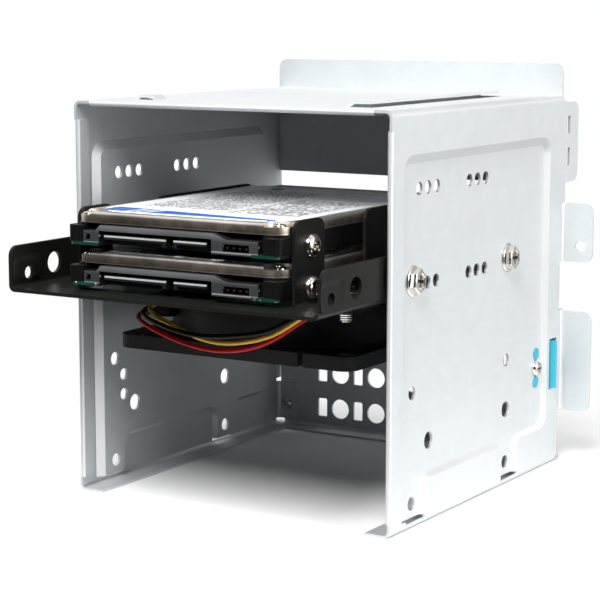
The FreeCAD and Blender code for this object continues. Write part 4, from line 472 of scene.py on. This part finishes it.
COVER_SHADE = (0.34, 0.265, 0.2)
COVER_BROWN = (0.68, 0.58, 0.47)
COVER_HIGHLIGHT_AND_SCRATCH = (0.82, 0.77, 0.71)
COVER_SPANGLE = 420.0
COVER_ROUGHNESS = 0.3
COVER_FOOT_HIGHLIGHT_MM = (0.1, 0.3)
COVER_SKIRT_SHADE_MM = (0.3, 1.7)
COVER_RIM_HIGHLIGHT_MM = (1.5, 2.6)


def cover_steel():
    """Drawn drive cover: brownish skirt with painted shade on its lower part, painted highlights along its
    cut foot and its rolled rim, and a satin top.
    """
    finish, tree, shader, place = new_finish("drive_cover")
    height = drive_height(tree, split(tree, place), "drive_cover")
    grain = use(tree, SHEET_GRAIN, Place=place, Spangle=COVER_SPANGLE)
    wear = use(tree, HANDLING_MARKS, Place=place, Density=1.0)
    # Painted shade: the skirt darkens from brown towards its foot.
    share = spread(tree, height, *COVER_SKIRT_SHADE_MM, -0.2, 0.5)
    share = calc(tree, "ADD", share, spread(tree, grain["Tone"], *TONE_RANGE, 0.0, 0.5))
    skirt = blend_colour(tree, share, COVER_SHADE, COVER_BROWN)
    # Painted highlights: a bright line along the cut foot and a bright band along the rolled rim; scratches
    # also brighten the colour.
    foot = spread(tree, height, *COVER_FOOT_HIGHLIGHT_MM, 1.0, 0.0)
    rim_highlight = spread(tree, height, *COVER_RIM_HIGHLIGHT_MM, 0.0, 1.0)
    bright = fold(tree, "MAXIMUM", rim_highlight, foot, calc(tree, "MULTIPLY", wear["Scratches"], 0.5))
    gloss = weigh(tree, (wear["Smudge"], 0.08), (grain["Tone"], 0.1), start=COVER_ROUGHNESS)
    colour = blend_colour(tree, bright, skirt, COVER_HIGHLIGHT_AND_SCRATCH)
    dress(tree, shader, Metallic=1.0, Base_Color=colour, Roughness=gloss)
    engrave(tree, shader, grain, wear, 0.4)
    return finish


PLUG_BLACK = (0.01, 0.01, 0.011)
PLUG_LIT_FRONT = (0.135, 0.138, 0.145)
PLUG_HIGHLIGHT = (0.42, 0.43, 0.44)
PLUG_GRAIN = 2400.0
PLUG_FACE_MM = 0.2
PLUG_TONGUE_MM = 0.8
PLUG_SILL_MM = (0.4, 0.8)
PLUG_LIP_MM = (2.25, 2.8)
PLUG_FRONT_LIGHT_MM = (3.3, 5.3)


def plug_body():
    """Black moulded plug, dark in its mouths, with painted light on its front face that grows towards the
    top and painted highlights on sill and lips.
    """
    finish, tree, shader, place = new_finish("plug_grey")
    axes = split(tree, place)
    height = drive_height(tree, axes, "drive_connector")
    depth = drive_depth(tree, axes, "drive_connector")
    grain = use(tree, MOULDED_GRAIN, Place=place, Grain=PLUG_GRAIN)
    face = calc(tree, "LESS_THAN", depth, PLUG_FACE_MM)
    # Painted light: the front face is lighter grey, more so towards the top.
    rise = spread(tree, height, *PLUG_FRONT_LIGHT_MM, 0.22, 1.0)
    front_light = fold(tree, "MULTIPLY", face, rise, spread(tree, grain["Tone"], *TONE_RANGE, 0.7, 1.2))
    # Painted highlights: a pale line along the sill of the front face and along the lips of the tongues.
    sill_highlight = fold(tree, "MULTIPLY", face, between(tree, height, *PLUG_SILL_MM), 0.5)
    tongue = between(tree, depth, PLUG_FACE_MM, PLUG_TONGUE_MM)
    lip_highlight = calc(tree, "MULTIPLY", tongue, between(tree, height, *PLUG_LIP_MM))
    body = blend_colour(tree, front_light, PLUG_BLACK, PLUG_LIT_FRONT)
    colour = blend_colour(tree, calc(tree, "MAXIMUM", lip_highlight, sill_highlight), body, PLUG_HIGHLIGHT)
    gloss = spread(tree, grain["Tone"], *TONE_RANGE, 0.36, 0.48)
    dress(tree, shader, Base_Color=colour, Roughness=gloss, Specular_IOR_Level=0.3)
    emboss(tree, shader, grain["Height"], 0.02 * MM, COAT_RELIEF)
    return finish


BOARD_GREEN = (0.004, 0.042, 0.028)
BOARD_DARK = (0.012, 0.013, 0.011)
TRACK_GREEN = (0.008, 0.085, 0.052)
PAD_TIN = (0.72, 0.66, 0.5)
ZONE_SCALE = 130.0
TRACK_PITCH = 0.9 * MM
TRACK_SHARE = (0.3, 0.62)
PAD_SCALE = 420.0
PAD_SCATTER = 0.55
PAD_SIZE = 0.22
PLUG_SHADOW_LEFT = 5.0 * MM
PLUG_SHADOW_RIGHT = 2.0 * MM
PLUG_SHADOW_DEPTH = 8.0 * MM


def circuit_board():
    """Green solder mask over copper tracks with tinned pads, dark on its cut sides, with a painted shadow
    under the plug.
    """
    finish, tree, shader, place = new_finish("board_green")
    axes = split(tree, place)
    zone_inputs = {"Vector": place, "Scale": ZONE_SCALE}
    zones = add(tree, "ShaderNodeTexVoronoi", zone_inputs, distance="CHEBYCHEV").outputs["Color"]
    pick = add(tree, "ShaderNodeSeparateColor", {"Color": zones}).outputs
    tracks = []
    for axis in ("X", "Y"):
        step = calc(tree, "FRACT", calc(tree, "DIVIDE", axes[axis], TRACK_PITCH))
        tracks.append(between(tree, step, *TRACK_SHARE))
    along = calc(tree, "GREATER_THAN", pick["Red"], 0.5)
    track = weigh(tree, (tracks[0], along), (tracks[1], opposite(tree, along)))
    track = calc(tree, "MULTIPLY", track, calc(tree, "GREATER_THAN", pick["Blue"], 0.25))

    # A painted shadow lies under the plug, and the sawn sides are dark
    low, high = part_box("upper_drive_board")
    plug_low, plug_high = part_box("upper_drive_connector")
    film = between(tree, axes["X"], plug_low.x + PLUG_SHADOW_LEFT, plug_high.x - PLUG_SHADOW_RIGHT)
    film = calc(tree, "MULTIPLY", film, calc(tree, "LESS_THAN", axes["Y"], low.y + PLUG_SHADOW_DEPTH))
    inner = between(tree, axes["X"], low.x + CUT_MARGIN, high.x - CUT_MARGIN)
    dark = calc(tree, "MAXIMUM", film, opposite(tree, inner))

    dot_inputs = {"Vector": place, "Scale": PAD_SCALE, "Randomness": PAD_SCATTER}
    dots = add(tree, "ShaderNodeTexVoronoi", dot_inputs).outputs["Distance"]
    pads = fold(
        tree, "MULTIPLY", calc(tree, "LESS_THAN", dots, PAD_SIZE),
        calc(tree, "GREATER_THAN", pick["Green"], 0.62), opposite(tree, dark),
    )
    mask = blend_colour(tree, track, BOARD_GREEN, TRACK_GREEN)
    mask = blend_colour(tree, dark, mask, BOARD_DARK)
    dress(tree, shader, Base_Color=blend_colour(tree, pads, mask, PAD_TIN), Metallic=pads)
    dress(tree, shader, Roughness=spread(tree, pads, 0.0, 1.0, 0.3, 0.38))
    emboss(tree, shader, calc(tree, "ADD", track, pads), 0.03 * MM)
    return finish


LABEL_WHITE = (0.9, 0.91, 0.92)
LABEL_SMUDGED = (0.85, 0.86, 0.87)
LABEL_BLUE = (0.03, 0.14, 0.52)
LABEL_INK = (0.025, 0.025, 0.028)
LABEL_ROUGHNESS = 0.26
LABEL_RIPPLE = 900.0

# The label's print, in shares of its width and of its length
BAND_ENDS = (0.04, 0.94)
BAND_TAPER = (0.05, 0.94)
BAND_FRONT = 0.022
BAND_REAR = (0.13, 0.05)
BAR_LEAN = 0.5
BARS_ON_WIDTH = 20.0
BAR_SHARE = 0.5
BAR_STRETCH = (0.15, 0.3)
BAR_ENDS = (0.03, 0.11)
DASH_BLOCKS = (
    {"rows": 54.0, "density": 74.0, "sides": (0.1, 0.54), "ends": (0.2, 0.86)},
    {"rows": 36.0, "density": 46.0, "sides": (0.58, 0.94), "ends": (0.16, 0.64)},
)
DASH_SHARE = (0.15, 0.7)
DASH_LEVEL = 0.48
ROW_STRIDE = 7.3
RULED_BOXES = (((0.58, 0.92), (0.68, 0.8)), ((0.58, 0.76), (0.84, 0.93)))
RULE_ACROSS = 0.006
RULE_DEEP = 0.005
VENT_ACROSS = 0.2
VENT_DEEP = 0.92
VENT_RADIUS = 2.4 * MM


def label_film():
    """White film with a tapering blue edge band, rows of dark dashes, ruled boxes and a dark vent spot."""
    finish, tree, shader, place = new_finish("drive_label")
    low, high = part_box("upper_drive_label")
    width = high.x - low.x
    length = high.y - low.y
    axes = split(tree, place)
    across = calc(tree, "DIVIDE", calc(tree, "SUBTRACT", axes["X"], low.x), width)
    deep = calc(tree, "DIVIDE", calc(tree, "SUBTRACT", axes["Y"], low.y), length)

    # Blue band that runs thinner to the right, crossed by three slanted pale bars
    band_rear = spread(tree, across, *BAND_TAPER, *BAND_REAR)
    slant = calc(tree, "SUBTRACT", across, calc(tree, "MULTIPLY", deep, BAR_LEAN))
    step = calc(tree, "FRACT", calc(tree, "MULTIPLY", slant, BARS_ON_WIDTH))
    bars = fold(
        tree, "MULTIPLY", between(tree, step, 0.0, BAR_SHARE), between(tree, slant, *BAR_STRETCH),
        between(tree, deep, *BAR_ENDS),
    )
    band = fold(
        tree, "MULTIPLY", between(tree, deep, BAND_FRONT, band_rear), between(tree, across, *BAND_ENDS),
        opposite(tree, bars),
    )

    # Dark dashes in rows, in two blocks of different pitch
    prints = []
    for block in DASH_BLOCKS:
        row = calc(tree, "MULTIPLY", deep, block["rows"])
        spot = add(tree, "ShaderNodeCombineXYZ", {
            "X": calc(tree, "MULTIPLY", across, block["density"]),
            "Y": calc(tree, "MULTIPLY", calc(tree, "FLOOR", row), ROW_STRIDE),
        })
        prints.append(fold(
            tree, "MULTIPLY", between(tree, calc(tree, "FRACT", row), *DASH_SHARE),
            calc(tree, "GREATER_THAN", noise(tree, spot.outputs["Vector"], 1.0), DASH_LEVEL),
            between(tree, across, *block["sides"]), between(tree, deep, *block["ends"]),
        ))

    # Two ruled boxes and the vent's dark spot
    for (left, right), (front, rear) in RULED_BOXES:
        outside = calc(
            tree, "MULTIPLY", between(tree, across, left, right), between(tree, deep, front, rear),
        )
        inside = calc(
            tree, "MULTIPLY", between(tree, across, left + RULE_ACROSS, right - RULE_ACROSS),
            between(tree, deep, front + RULE_DEEP, rear - RULE_DEEP),
        )
        prints.append(calc(tree, "SUBTRACT", outside, inside))
    sideways = calc(tree, "MULTIPLY", calc(tree, "SUBTRACT", across, VENT_ACROSS), width)
    lengthways = calc(tree, "MULTIPLY", calc(tree, "SUBTRACT", deep, VENT_DEEP), length)
    prints.append(calc(tree, "LESS_THAN", distance(tree, sideways, lengthways), VENT_RADIUS))

    wear = use(tree, HANDLING_MARKS, Place=place, Density=COAT_DENSITY)
    film = blend_colour(tree, wear["Smudge"], LABEL_WHITE, LABEL_SMUDGED)
    film = blend_colour(tree, band, film, LABEL_BLUE)
    colour = blend_colour(tree, fold(tree, "MAXIMUM", *prints), film, LABEL_INK)
    gloss = weigh(tree, (wear["Smudge"], 0.1), start=LABEL_ROUGHNESS)
    dress(tree, shader, Base_Color=colour, Roughness=gloss)
    emboss(tree, shader, noise(tree, place, LABEL_RIPPLE), 0.01 * MM, 0.5)
    return finish


PLATTER_DARK = (0.8, 0.78, 0.76)
PLATTER_BRIGHT = (0.9, 0.89, 0.88)
RING_SCALE = 3000.0


def platter_mirror():
    """Polished disc with faint turned rings about its spindle."""
    finish, tree, shader, place = new_finish("platter")
    low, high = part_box("upper_platters")
    middle = (low + high) / 2
    centring = {"Vector": place, "Location": (-middle.x, -middle.y, 0.0)}
    axes = split(tree, add(tree, "ShaderNodeMapping", centring).outputs["Vector"])
    ring_inputs = {"W": distance(tree, axes["X"], axes["Y"]), "Scale": RING_SCALE}
    rings = add(tree, "ShaderNodeTexNoise", ring_inputs, noise_dimensions="1D").outputs["Fac"]
    dress(tree, shader, Metallic=1.0, Base_Color=blend_colour(tree, rings, PLATTER_DARK, PLATTER_BRIGHT))
    dress(tree, shader, Roughness=spread(tree, rings, 0.0, 1.0, 0.05, 0.12))
    return finish


COPPER_GROOVE_SHADE = (0.32, 0.1, 0.035)
COPPER_CREST_HIGHLIGHT = (0.78, 0.34, 0.14)
TURN_PITCH = 0.35 * MM
TURN_DEPTH = 0.1 * MM


def copper_winding():
    """Enamelled copper wire wound in close turns, with painted highlights on their crests and painted shade
    in the grooves between them.
    """
    finish, tree, shader, place = new_finish("coil_copper")
    turns = calc(tree, "SINE", calc(tree, "MULTIPLY", split(tree, place)["Z"], 2 * math.pi / TURN_PITCH))
    # Painted light: each turn's crest is bright and the groove between turns is dark.
    share = weigh(tree, (turns, 0.5), start=0.5)
    dress(tree, shader, Metallic=1.0, Base_Color=blend_colour(tree, share, COPPER_GROOVE_SHADE, COPPER_CREST_HIGHLIGHT))
    dress(tree, shader, Roughness=spread(tree, share, 0.0, 1.0, 0.5, 0.28))
    emboss(tree, shader, share, TURN_DEPTH)
    return finish


def make_finishes():
    """One finish for each material slot of the record, put on the nodes that have the slot."""
    finishes = {name: bare_metal(name, *look) for name, look in METALS.items()}
    finishes.update({name: coated(name, *look) for name, look in COATS.items()})
    finishes.update({
        "cage_steel": cage_sheet(),
        "drive_cover": cover_steel(),
        "drive_label": label_film(),
        "board_green": circuit_board(),
        "plug_grey": plug_body(),
        "platter": platter_mirror(),
        "coil_copper": copper_winding(),
    })
    for subpart in frame["record"]["subparts"]:
        node = frame["nodes"][subpart["node"]]
        node.material_slots[0].material = finishes[subpart["material_slot"]]
    return finishes


# Screws and rivets

SMOOTH_ANGLE = math.radians(34)
ROUND_SIDES = 36
FULL_TURN = 2 * math.pi

# Sizes of the fasteners in millimetres
BAY_SCREW_MM = {
    "washer": 4.4, "washer_height": 0.8, "flats": 6.35, "hex_height": 1.9, "radius": 1.75, "length": 4.45,
}
PAN_SCREWS_MM = {
    "drive_screw": {"head": 3.3, "head_height": 1.9, "radius": 1.45, "length": 3.6},
    "fan_screw": {"head": 3.3, "head_height": 1.0, "radius": 2.1, "length": 7.8},
    "cover_screw": {"head": 1.9, "head_height": 0.7, "radius": 0.9, "length": 5.6},
    "latch_screw": {"head": 2.6, "head_height": 1.6, "radius": 1.4, "length": 2.7},
}
RIVET_MM = {"head": 2.2, "head_height": 0.9, "radius": 1.5, "grip": 1.6, "tail": 2.2, "tail_height": 0.6}
BAY_THREAD_MM = {"pitch": 0.8, "depth": 0.22}
PAN_THREAD_MM = {"pitch": 0.6, "depth": 0.16}

# Head radius and head height of each kind, in millimetres
HEADS_MM = {kind: (sizes["head"], sizes["head_height"]) for kind, sizes in PAN_SCREWS_MM.items()}
HEADS_MM["bay_screw"] = (BAY_SCREW_MM["washer"], BAY_SCREW_MM["washer_height"] + BAY_SCREW_MM["hex_height"])
HEADS_MM["pull_rivet"] = (RIVET_MM["head"], RIVET_MM["head_height"])

# Rings of a washer face and of a rivet's tail and head, as shares of the radius and of the height
WASHER_PROFILE = ((1.0, 0.0), (1.0, 0.45), (0.96, 0.75), (0.9, 1.0), (0.3, 1.0))
RIVET_TAIL_PROFILE = ((0.7, 1.0), (1.0, 0.6), (1.0, 0.0))
RIVET_HEAD_PROFILE = ((1.0, 0.0), (0.97, 0.35), (0.82, 0.75), (0.55, 1.0), (0.36, 1.0), (0.33, 0.2))

# Hexagon from its side to its dished top, as shares of its corner and millimetres below its top
HEX_PROFILE = ((1.0, 0.45), (0.93, 0.12), (0.86, 0.0), (0.68, 0.0), (0.6, 0.25))

DOME_DEGREES = (0, 18, 36, 54, 72, 84)
DOME_FLAT = 0.45
DOME_FOOT = 0.22
THREAD_TIP = 0.55

# Node, kind of fastener, axis and ways that its heads face, and material slot
FASTENER_SETS = (
    ("bay_screws", "bay_screw", 0, (-1, 1), "screw_nickel"),
    ("drive_screws", "drive_screw", 0, (-1, 1), "screw_nickel"),
    ("fan_screws", "fan_screw", 2, (1,), "screw_nickel"),
    ("lower_cover_screws", "cover_screw", 2, (1,), "screw_nickel"),
    ("upper_cover_screws", "cover_screw", 2, (1,), "screw_nickel"),
    ("latch_screw", "latch_screw", 0, (1,), "screw_nickel"),
    ("panel_rivets", "pull_rivet", 1, (-1,), "rivet_steel"),
)


def circle(radius, height, sides=ROUND_SIDES):
    """Outline of a round or a regular polygon."""
    turns = [FULL_TURN * i / sides for i in range(sides)]
    return [(radius * math.cos(turn), radius * math.sin(turn), height) for turn in turns]


def cross(reach, width, height):
    """Outline of a cross recess."""
    quarter = [(reach, -width), (reach, width), (width, width)]
    points = []
    for _ in range(4):
        points += [(x, y, height) for x, y in quarter]
        quarter = [(-y, x) for x, y in quarter]
    return points


def star(radius, lobe, height):
    """Outline of a six-lobed recess."""
    points = []
    for i in range(ROUND_SIDES):
        turn = FULL_TURN * i / ROUND_SIDES
        reach = radius + lobe * math.cos(6 * turn)
        points.append((reach * math.cos(turn), reach * math.sin(turn), height))
    return points


# Lower and upper outline of the recess in each kind of pan-head screw, in millimetres
RECESSES_MM = {
    "drive_screw": (cross(0.5, 0.2, 0.2), cross(2.0, 0.42, 2.0)),
    "fan_screw": (cross(0.5, 0.2, -0.4), cross(1.9, 0.4, 1.1)),
    "cover_screw": (star(0.6, 0.1, 0.1), star(0.85, 0.15, 0.8)),
    "latch_screw": (cross(0.4, 0.18, 0.2), cross(1.7, 0.36, 1.7)),
}


def loft(name, rings):
    """Closed solid through rings with the same number of points, from the lowest up, in millimetres."""
    form = bmesh.new()
    rows = [[form.verts.new(Vector(point) * MM) for point in ring] for ring in rings]
    for below, above in zip(rows, rows[1:]):
        for i in range(len(below)):
            ahead = (i + 1) % len(below)
            form.faces.new((below[i], below[ahead], above[ahead], above[i]))
    form.faces.new(reversed(rows[0]))
    form.faces.new(rows[-1])
    mesh = bpy.data.meshes.new(name)
    form.to_mesh(mesh)
    form.free()
    solid = bpy.data.objects.new(name, mesh)
    show(solid)
    return solid


def settle(solid):
    """Turns what the modifiers make into the object's own plain mesh."""
    evaluated = solid.evaluated_get(bpy.context.evaluated_depsgraph_get())
    mesh = bpy.data.meshes.new_from_object(evaluated)
    solid.modifiers.clear()
    solid.data = mesh


def combine(body, tool, operation):
    modifier = body.modifiers.new("combine", "BOOLEAN")
    modifier.operation = operation
    modifier.solver = "EXACT"
    modifier.object = tool
    settle(body)
    bpy.data.objects.remove(tool)


def soften(solid):
    for face in solid.data.polygons:
        face.use_smooth = True
    solid.data.set_sharp_from_angle(angle=SMOOTH_ANGLE)


def threaded(radius, length, pitch, depth):
    """Rings of a shank with a pointed end and thread ridges, from its tip to its seat."""
    rings = [circle(THREAD_TIP * radius, -length), circle(radius - depth, 0.4 * pitch - length)]
    crest = 0.8 * pitch - length
    while crest < -1.2 * pitch:
        rings += [circle(radius, crest), circle(radius - depth, crest + 0.5 * pitch)]
        crest += pitch
    return rings + [circle(radius - depth, 0.0)]


def hex_washer_screw(washer, washer_height, flats, hex_height, radius, length):
    """Bay screw: hexagon head on a washer face, dished on top, with a cross recess."""
    face = [circle(share * washer, rise * washer_height) for share, rise in WASHER_PROFILE]
    screw = loft("bay_screw", threaded(radius, length, **BAY_THREAD_MM) + face)
    top = washer_height + hex_height
    corner = flats / math.sqrt(3)
    rings = [circle(corner, 0.5 * washer_height, 6)]
    rings += [circle(share * corner, top - drop, 6) for share, drop in HEX_PROFILE]
    combine(screw, loft("hex_head", rings), "UNION")
    combine(screw, loft("recess", [cross(0.8, 0.25, top - 1.7), cross(2.1, 0.55, top + 0.2)]), "DIFFERENCE")
    soften(screw)
    return screw


def pan_screw(name, recess, head, head_height, radius, length):
    """Domed head on a threaded shank, with the recess that is cut into it."""
    flat = DOME_FLAT * head
    foot = DOME_FOOT * head_height
    dome = [circle(head, 0.0)]
    for degrees in DOME_DEGREES:
        angle = math.radians(degrees)
        reach = flat + (head - flat) * math.cos(angle)
        dome.append(circle(reach, foot + (head_height - foot) * math.sin(angle)))
    dome.append(circle(0.5 * flat, head_height))
    screw = loft(name, threaded(radius, length, **PAN_THREAD_MM) + dome)
    combine(screw, loft("recess", recess), "DIFFERENCE")
    soften(screw)
    return screw


def pull_rivet(head, head_height, radius, grip, tail, tail_height):
    """Domed rivet with the hollow that its drawn stem leaves, and a set tail."""
    rings = [circle(share * tail, -grip - drop * tail_height) for share, drop in RIVET_TAIL_PROFILE]
    rings += [circle(radius, -grip), circle(radius, 0.0)]
    rings += [circle(share * head, rise * head_height) for share, rise in RIVET_HEAD_PROFILE]
    rivet = loft("pull_rivet", rings)
    soften(rivet)
    return rivet


def seats_of(node, axis, ways, radius, height):
    """Seats and facings of a node's fasteners, which stand along the axis at the margins of its box."""
    low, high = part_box(node)
    rows = []
    for i in range(3):
        near = low[i] + radius
        far = high[i] - radius
        rows.append((near, far) if far - near > radius else ((near + far) / 2,))
    seats = []
    for way in ways:
        rows[axis] = (high[axis] - height if way > 0 else low[axis] + height,)
        facing = [0.0, 0.0, 0.0]
        facing[axis] = way
        seats += [(place, facing) for place in itertools.product(*rows)]
    return seats


def fastener_tree():
    """Sets a copy of the fastener on each seat, along its facing and turned by chance."""
    tree = bpy.data.node_groups.new("fastener_set", "GeometryNodeTree")
    sockets = (
        ("Seats", "NodeSocketGeometry"), ("Fastener", "NodeSocketObject"), ("Finish", "NodeSocketMaterial"),
        ("Turn", FLOAT), ("Seed", "NodeSocketInt"),
    )
    for label, kind in sockets:
        tree.interface.new_socket(label, in_out="INPUT", socket_type=kind)
    tree.interface.new_socket("Fasteners", in_out="OUTPUT", socket_type="NodeSocketGeometry")
    given = tree.nodes.new("NodeGroupInput").outputs
    result = tree.nodes.new("NodeGroupOutput").inputs
    points = add(tree, "GeometryNodeMeshToPoints", {"Mesh": given["Seats"]}).outputs["Points"]
    facing = add(tree, "GeometryNodeInputNamedAttribute", {"Name": "facing"}, data_type="FLOAT_VECTOR")
    facing_inputs = {"Vector": facing.outputs["Attribute"]}
    upright = add(tree, "FunctionNodeAlignRotationToVector", facing_inputs, axis="Z")
    chance = add(tree, "FunctionNodeRandomValue", {"Seed": given["Seed"]}, data_type="FLOAT")
    plug(tree, named(chance.inputs, "Max_001"), given["Turn"])
    spin_inputs = {"Axis": (0.0, 0.0, 1.0), "Angle": named(chance.outputs, "Value_001")}
    spin = add(tree, "FunctionNodeAxisAngleToRotation", spin_inputs).outputs["Rotation"]
    turn_inputs = {"Rotation": upright.outputs["Rotation"], "Rotate By": spin}
    turned = add(tree, "FunctionNodeRotateRotation", turn_inputs, rotation_space="LOCAL")
    shape = add(tree, "GeometryNodeObjectInfo", {"Object": given["Fastener"]}).outputs["Geometry"]
    place_inputs = {"Points": points, "Instance": shape, "Rotation": turned.outputs["Rotation"]}
    copies = add(tree, "GeometryNodeInstanceOnPoints", place_inputs).outputs["Instances"]
    real = add(tree, "GeometryNodeRealizeInstances", {"Geometry": copies}).outputs["Geometry"]
    done = add(tree, "GeometryNodeSetMaterial", {"Geometry": real, "Material": given["Finish"]})
    plug(tree, result["Fasteners"], done.outputs["Geometry"])
    return tree


def set_fasteners(tree, node, shape, seats, finish, seed):
    """Replaces a node of fasteners by copies of the shape on its seats."""
    name = f"{node}_set"
    mesh = bpy.data.meshes.new(name)
    mesh.from_pydata([place for place, facing in seats], [], [])
    facings = mesh.attributes.new("facing", "FLOAT_VECTOR", "POINT")
    for entry, (place, facing) in zip(facings.data, seats):
        entry.vector = facing
    fasteners = bpy.data.objects.new(name, mesh)
    show(fasteners)
    modifier = fasteners.modifiers.new("fastener_set", "NODES")
    modifier.node_group = tree
    values = {"Fastener": shape, "Finish": finish, "Turn": FULL_TURN, "Seed": seed}
    for item in tree.interface.items_tree:
        if item.in_out == "INPUT" and item.name in values:
            modifier[item.identifier] = values[item.name]
    settle(fasteners)
    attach(fasteners, "cage")
    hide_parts(node)


def fit_fasteners(finishes):
    """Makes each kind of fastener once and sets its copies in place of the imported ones."""
    tree = fastener_tree()
    shapes = {"bay_screw": hex_washer_screw(**BAY_SCREW_MM), "pull_rivet": pull_rivet(**RIVET_MM)}
    for kind, sizes in PAN_SCREWS_MM.items():
        shapes[kind] = pan_screw(kind, RECESSES_MM[kind], **sizes)
    for seed, (node, kind, axis, ways, slot) in enumerate(FASTENER_SETS):
        radius, height = HEADS_MM[kind]
        seats = seats_of(node, axis, ways, radius * MM, height * MM)
        set_fasteners(tree, node, shapes[kind], seats, finishes[slot], seed)
    for shape in shapes.values():
        bpy.data.objects.remove(shape)


# Studio

FLOOR_COLOUR = (0.82, 0.82, 0.82, 1.0)
FLOOR_RADIUS = 0.9
FLOOR_SIDES = 96
FADE_START = 0.07
FADE_END = 0.155

# Strength of the world: white for the camera, less for the fill, dim in front and half lit behind
FILL_LEVEL = 0.75
STUDIO_LEVEL = 1.0
DIM_LEVEL = 0.03
DIM_WAY = (0.0, -1.0, 0.0)
DIM_EDGE = 0.0
DIM_CORE = 0.5
BACK_LEVEL = 0.5
BACK_EDGE = -0.3
BACK_CORE = -0.9

# Place and watts of each softbox
SOFTBOXES = {
    "front_softbox": ((0.2, -0.94, 1.06), 34.0),
    "right_softbox": ((1.1, 0.0, 0.4), 9.0),
}
SOFTBOX_TARGET = (0.0, 0.0, 0.05)
SOFTBOX_SIZE = 0.6


def background_rays(tree):
    """One for rays that see the background: straight from the camera, mirrored or let through."""
    path = tree.nodes.new("ShaderNodeLightPath").outputs
    rays = calc(tree, "ADD", path["Is Camera Ray"], path["Is Glossy Ray"])
    return calc(tree, "MINIMUM", calc(tree, "ADD", rays, path["Is Transmission Ray"]), 1.0)


def lay_floor():
    """Pale round floor that fades into the white background away from the object."""
    form = bmesh.new()
    bmesh.ops.create_circle(form, cap_ends=True, segments=FLOOR_SIDES, radius=FLOOR_RADIUS)
    mesh = bpy.data.meshes.new("bench_floor")
    form.to_mesh(mesh)
    form.free()
    finish = bpy.data.materials.new("bench_floor")
    finish.use_nodes = True
    tree = finish.node_tree
    tree.nodes.clear()
    place = tree.nodes.new("ShaderNodeTexCoord").outputs["Object"]
    reach = add(tree, "ShaderNodeVectorMath", {"Vector": place}, operation="LENGTH").outputs["Value"]
    matt = add(tree, "ShaderNodeBsdfDiffuse", {"Color": FLOOR_COLOUR}).outputs["BSDF"]
    faded = add(tree, "ShaderNodeMixShader", {"Fac": spread(tree, reach, FADE_START, FADE_END, 0.0, 1.0)})
    plug(tree, faded.inputs[1], matt)
    plug(tree, faded.inputs[2], tree.nodes.new("ShaderNodeBsdfTransparent").outputs["BSDF"])
    out = tree.nodes.new("ShaderNodeOutputMaterial")
    plug(tree, out.inputs["Surface"], faded.outputs["Shader"])
    mesh.materials.append(finish)
    floor = bpy.data.objects.new("bench_floor", mesh)
    show(floor)


def light_world():
    """White studio, dim on the side where the photographer stands and half lit behind the object."""
    world = bpy.data.worlds.new("studio")
    world.use_nodes = True
    tree = world.node_tree
    way = tree.nodes.new("ShaderNodeTexCoord").outputs["Generated"]
    turned = add(tree, "ShaderNodeVectorMath", {0: way, 1: DIM_WAY}, operation="DOT_PRODUCT")
    toward = turned.outputs["Value"]
    front = spread(tree, toward, DIM_EDGE, DIM_CORE, STUDIO_LEVEL, DIM_LEVEL)
    room = calc(tree, "MULTIPLY", front, spread(tree, toward, BACK_CORE, BACK_EDGE, BACK_LEVEL, 1.0))
    rays = background_rays(tree)
    level = calc(tree, "MULTIPLY", room, spread(tree, rays, 0.0, 1.0, FILL_LEVEL, 1.0))
    straight = tree.nodes.new("ShaderNodeLightPath").outputs["Is Camera Ray"]
    level = add(tree, "ShaderNodeMix", {"Factor": straight, "A": level, "B": 1.0}).outputs["Result"]
    plug(tree, tree.nodes["Background"].inputs["Color"], (1.0, 1.0, 1.0, 1.0))
    plug(tree, tree.nodes["Background"].inputs["Strength"], level)
    bpy.context.scene.world = world


def light_studio():
    for name, (place, watts) in SOFTBOXES.items():
        lamp = bpy.data.lights.new(name, "AREA")
        lamp.shape = "SQUARE"
        lamp.size = SOFTBOX_SIZE
        lamp.energy = watts
        softbox = bpy.data.objects.new(name, lamp)
        softbox.location = place
        softbox.rotation_mode = "QUATERNION"
        softbox.rotation_quaternion = (Vector(SOFTBOX_TARGET) - Vector(place)).to_track_quat("-Z", "Y")
        show(softbox)


set_camera()
finishes = make_finishes()
for colour in WIRE_ROUTES_MM:
    lay_wire(colour, finishes[f"wire_{colour}"])
fit_fasteners(finishes)
lay_floor()
light_world()
light_studio()
bpy.context.scene.view_settings.view_transform = "Standard"
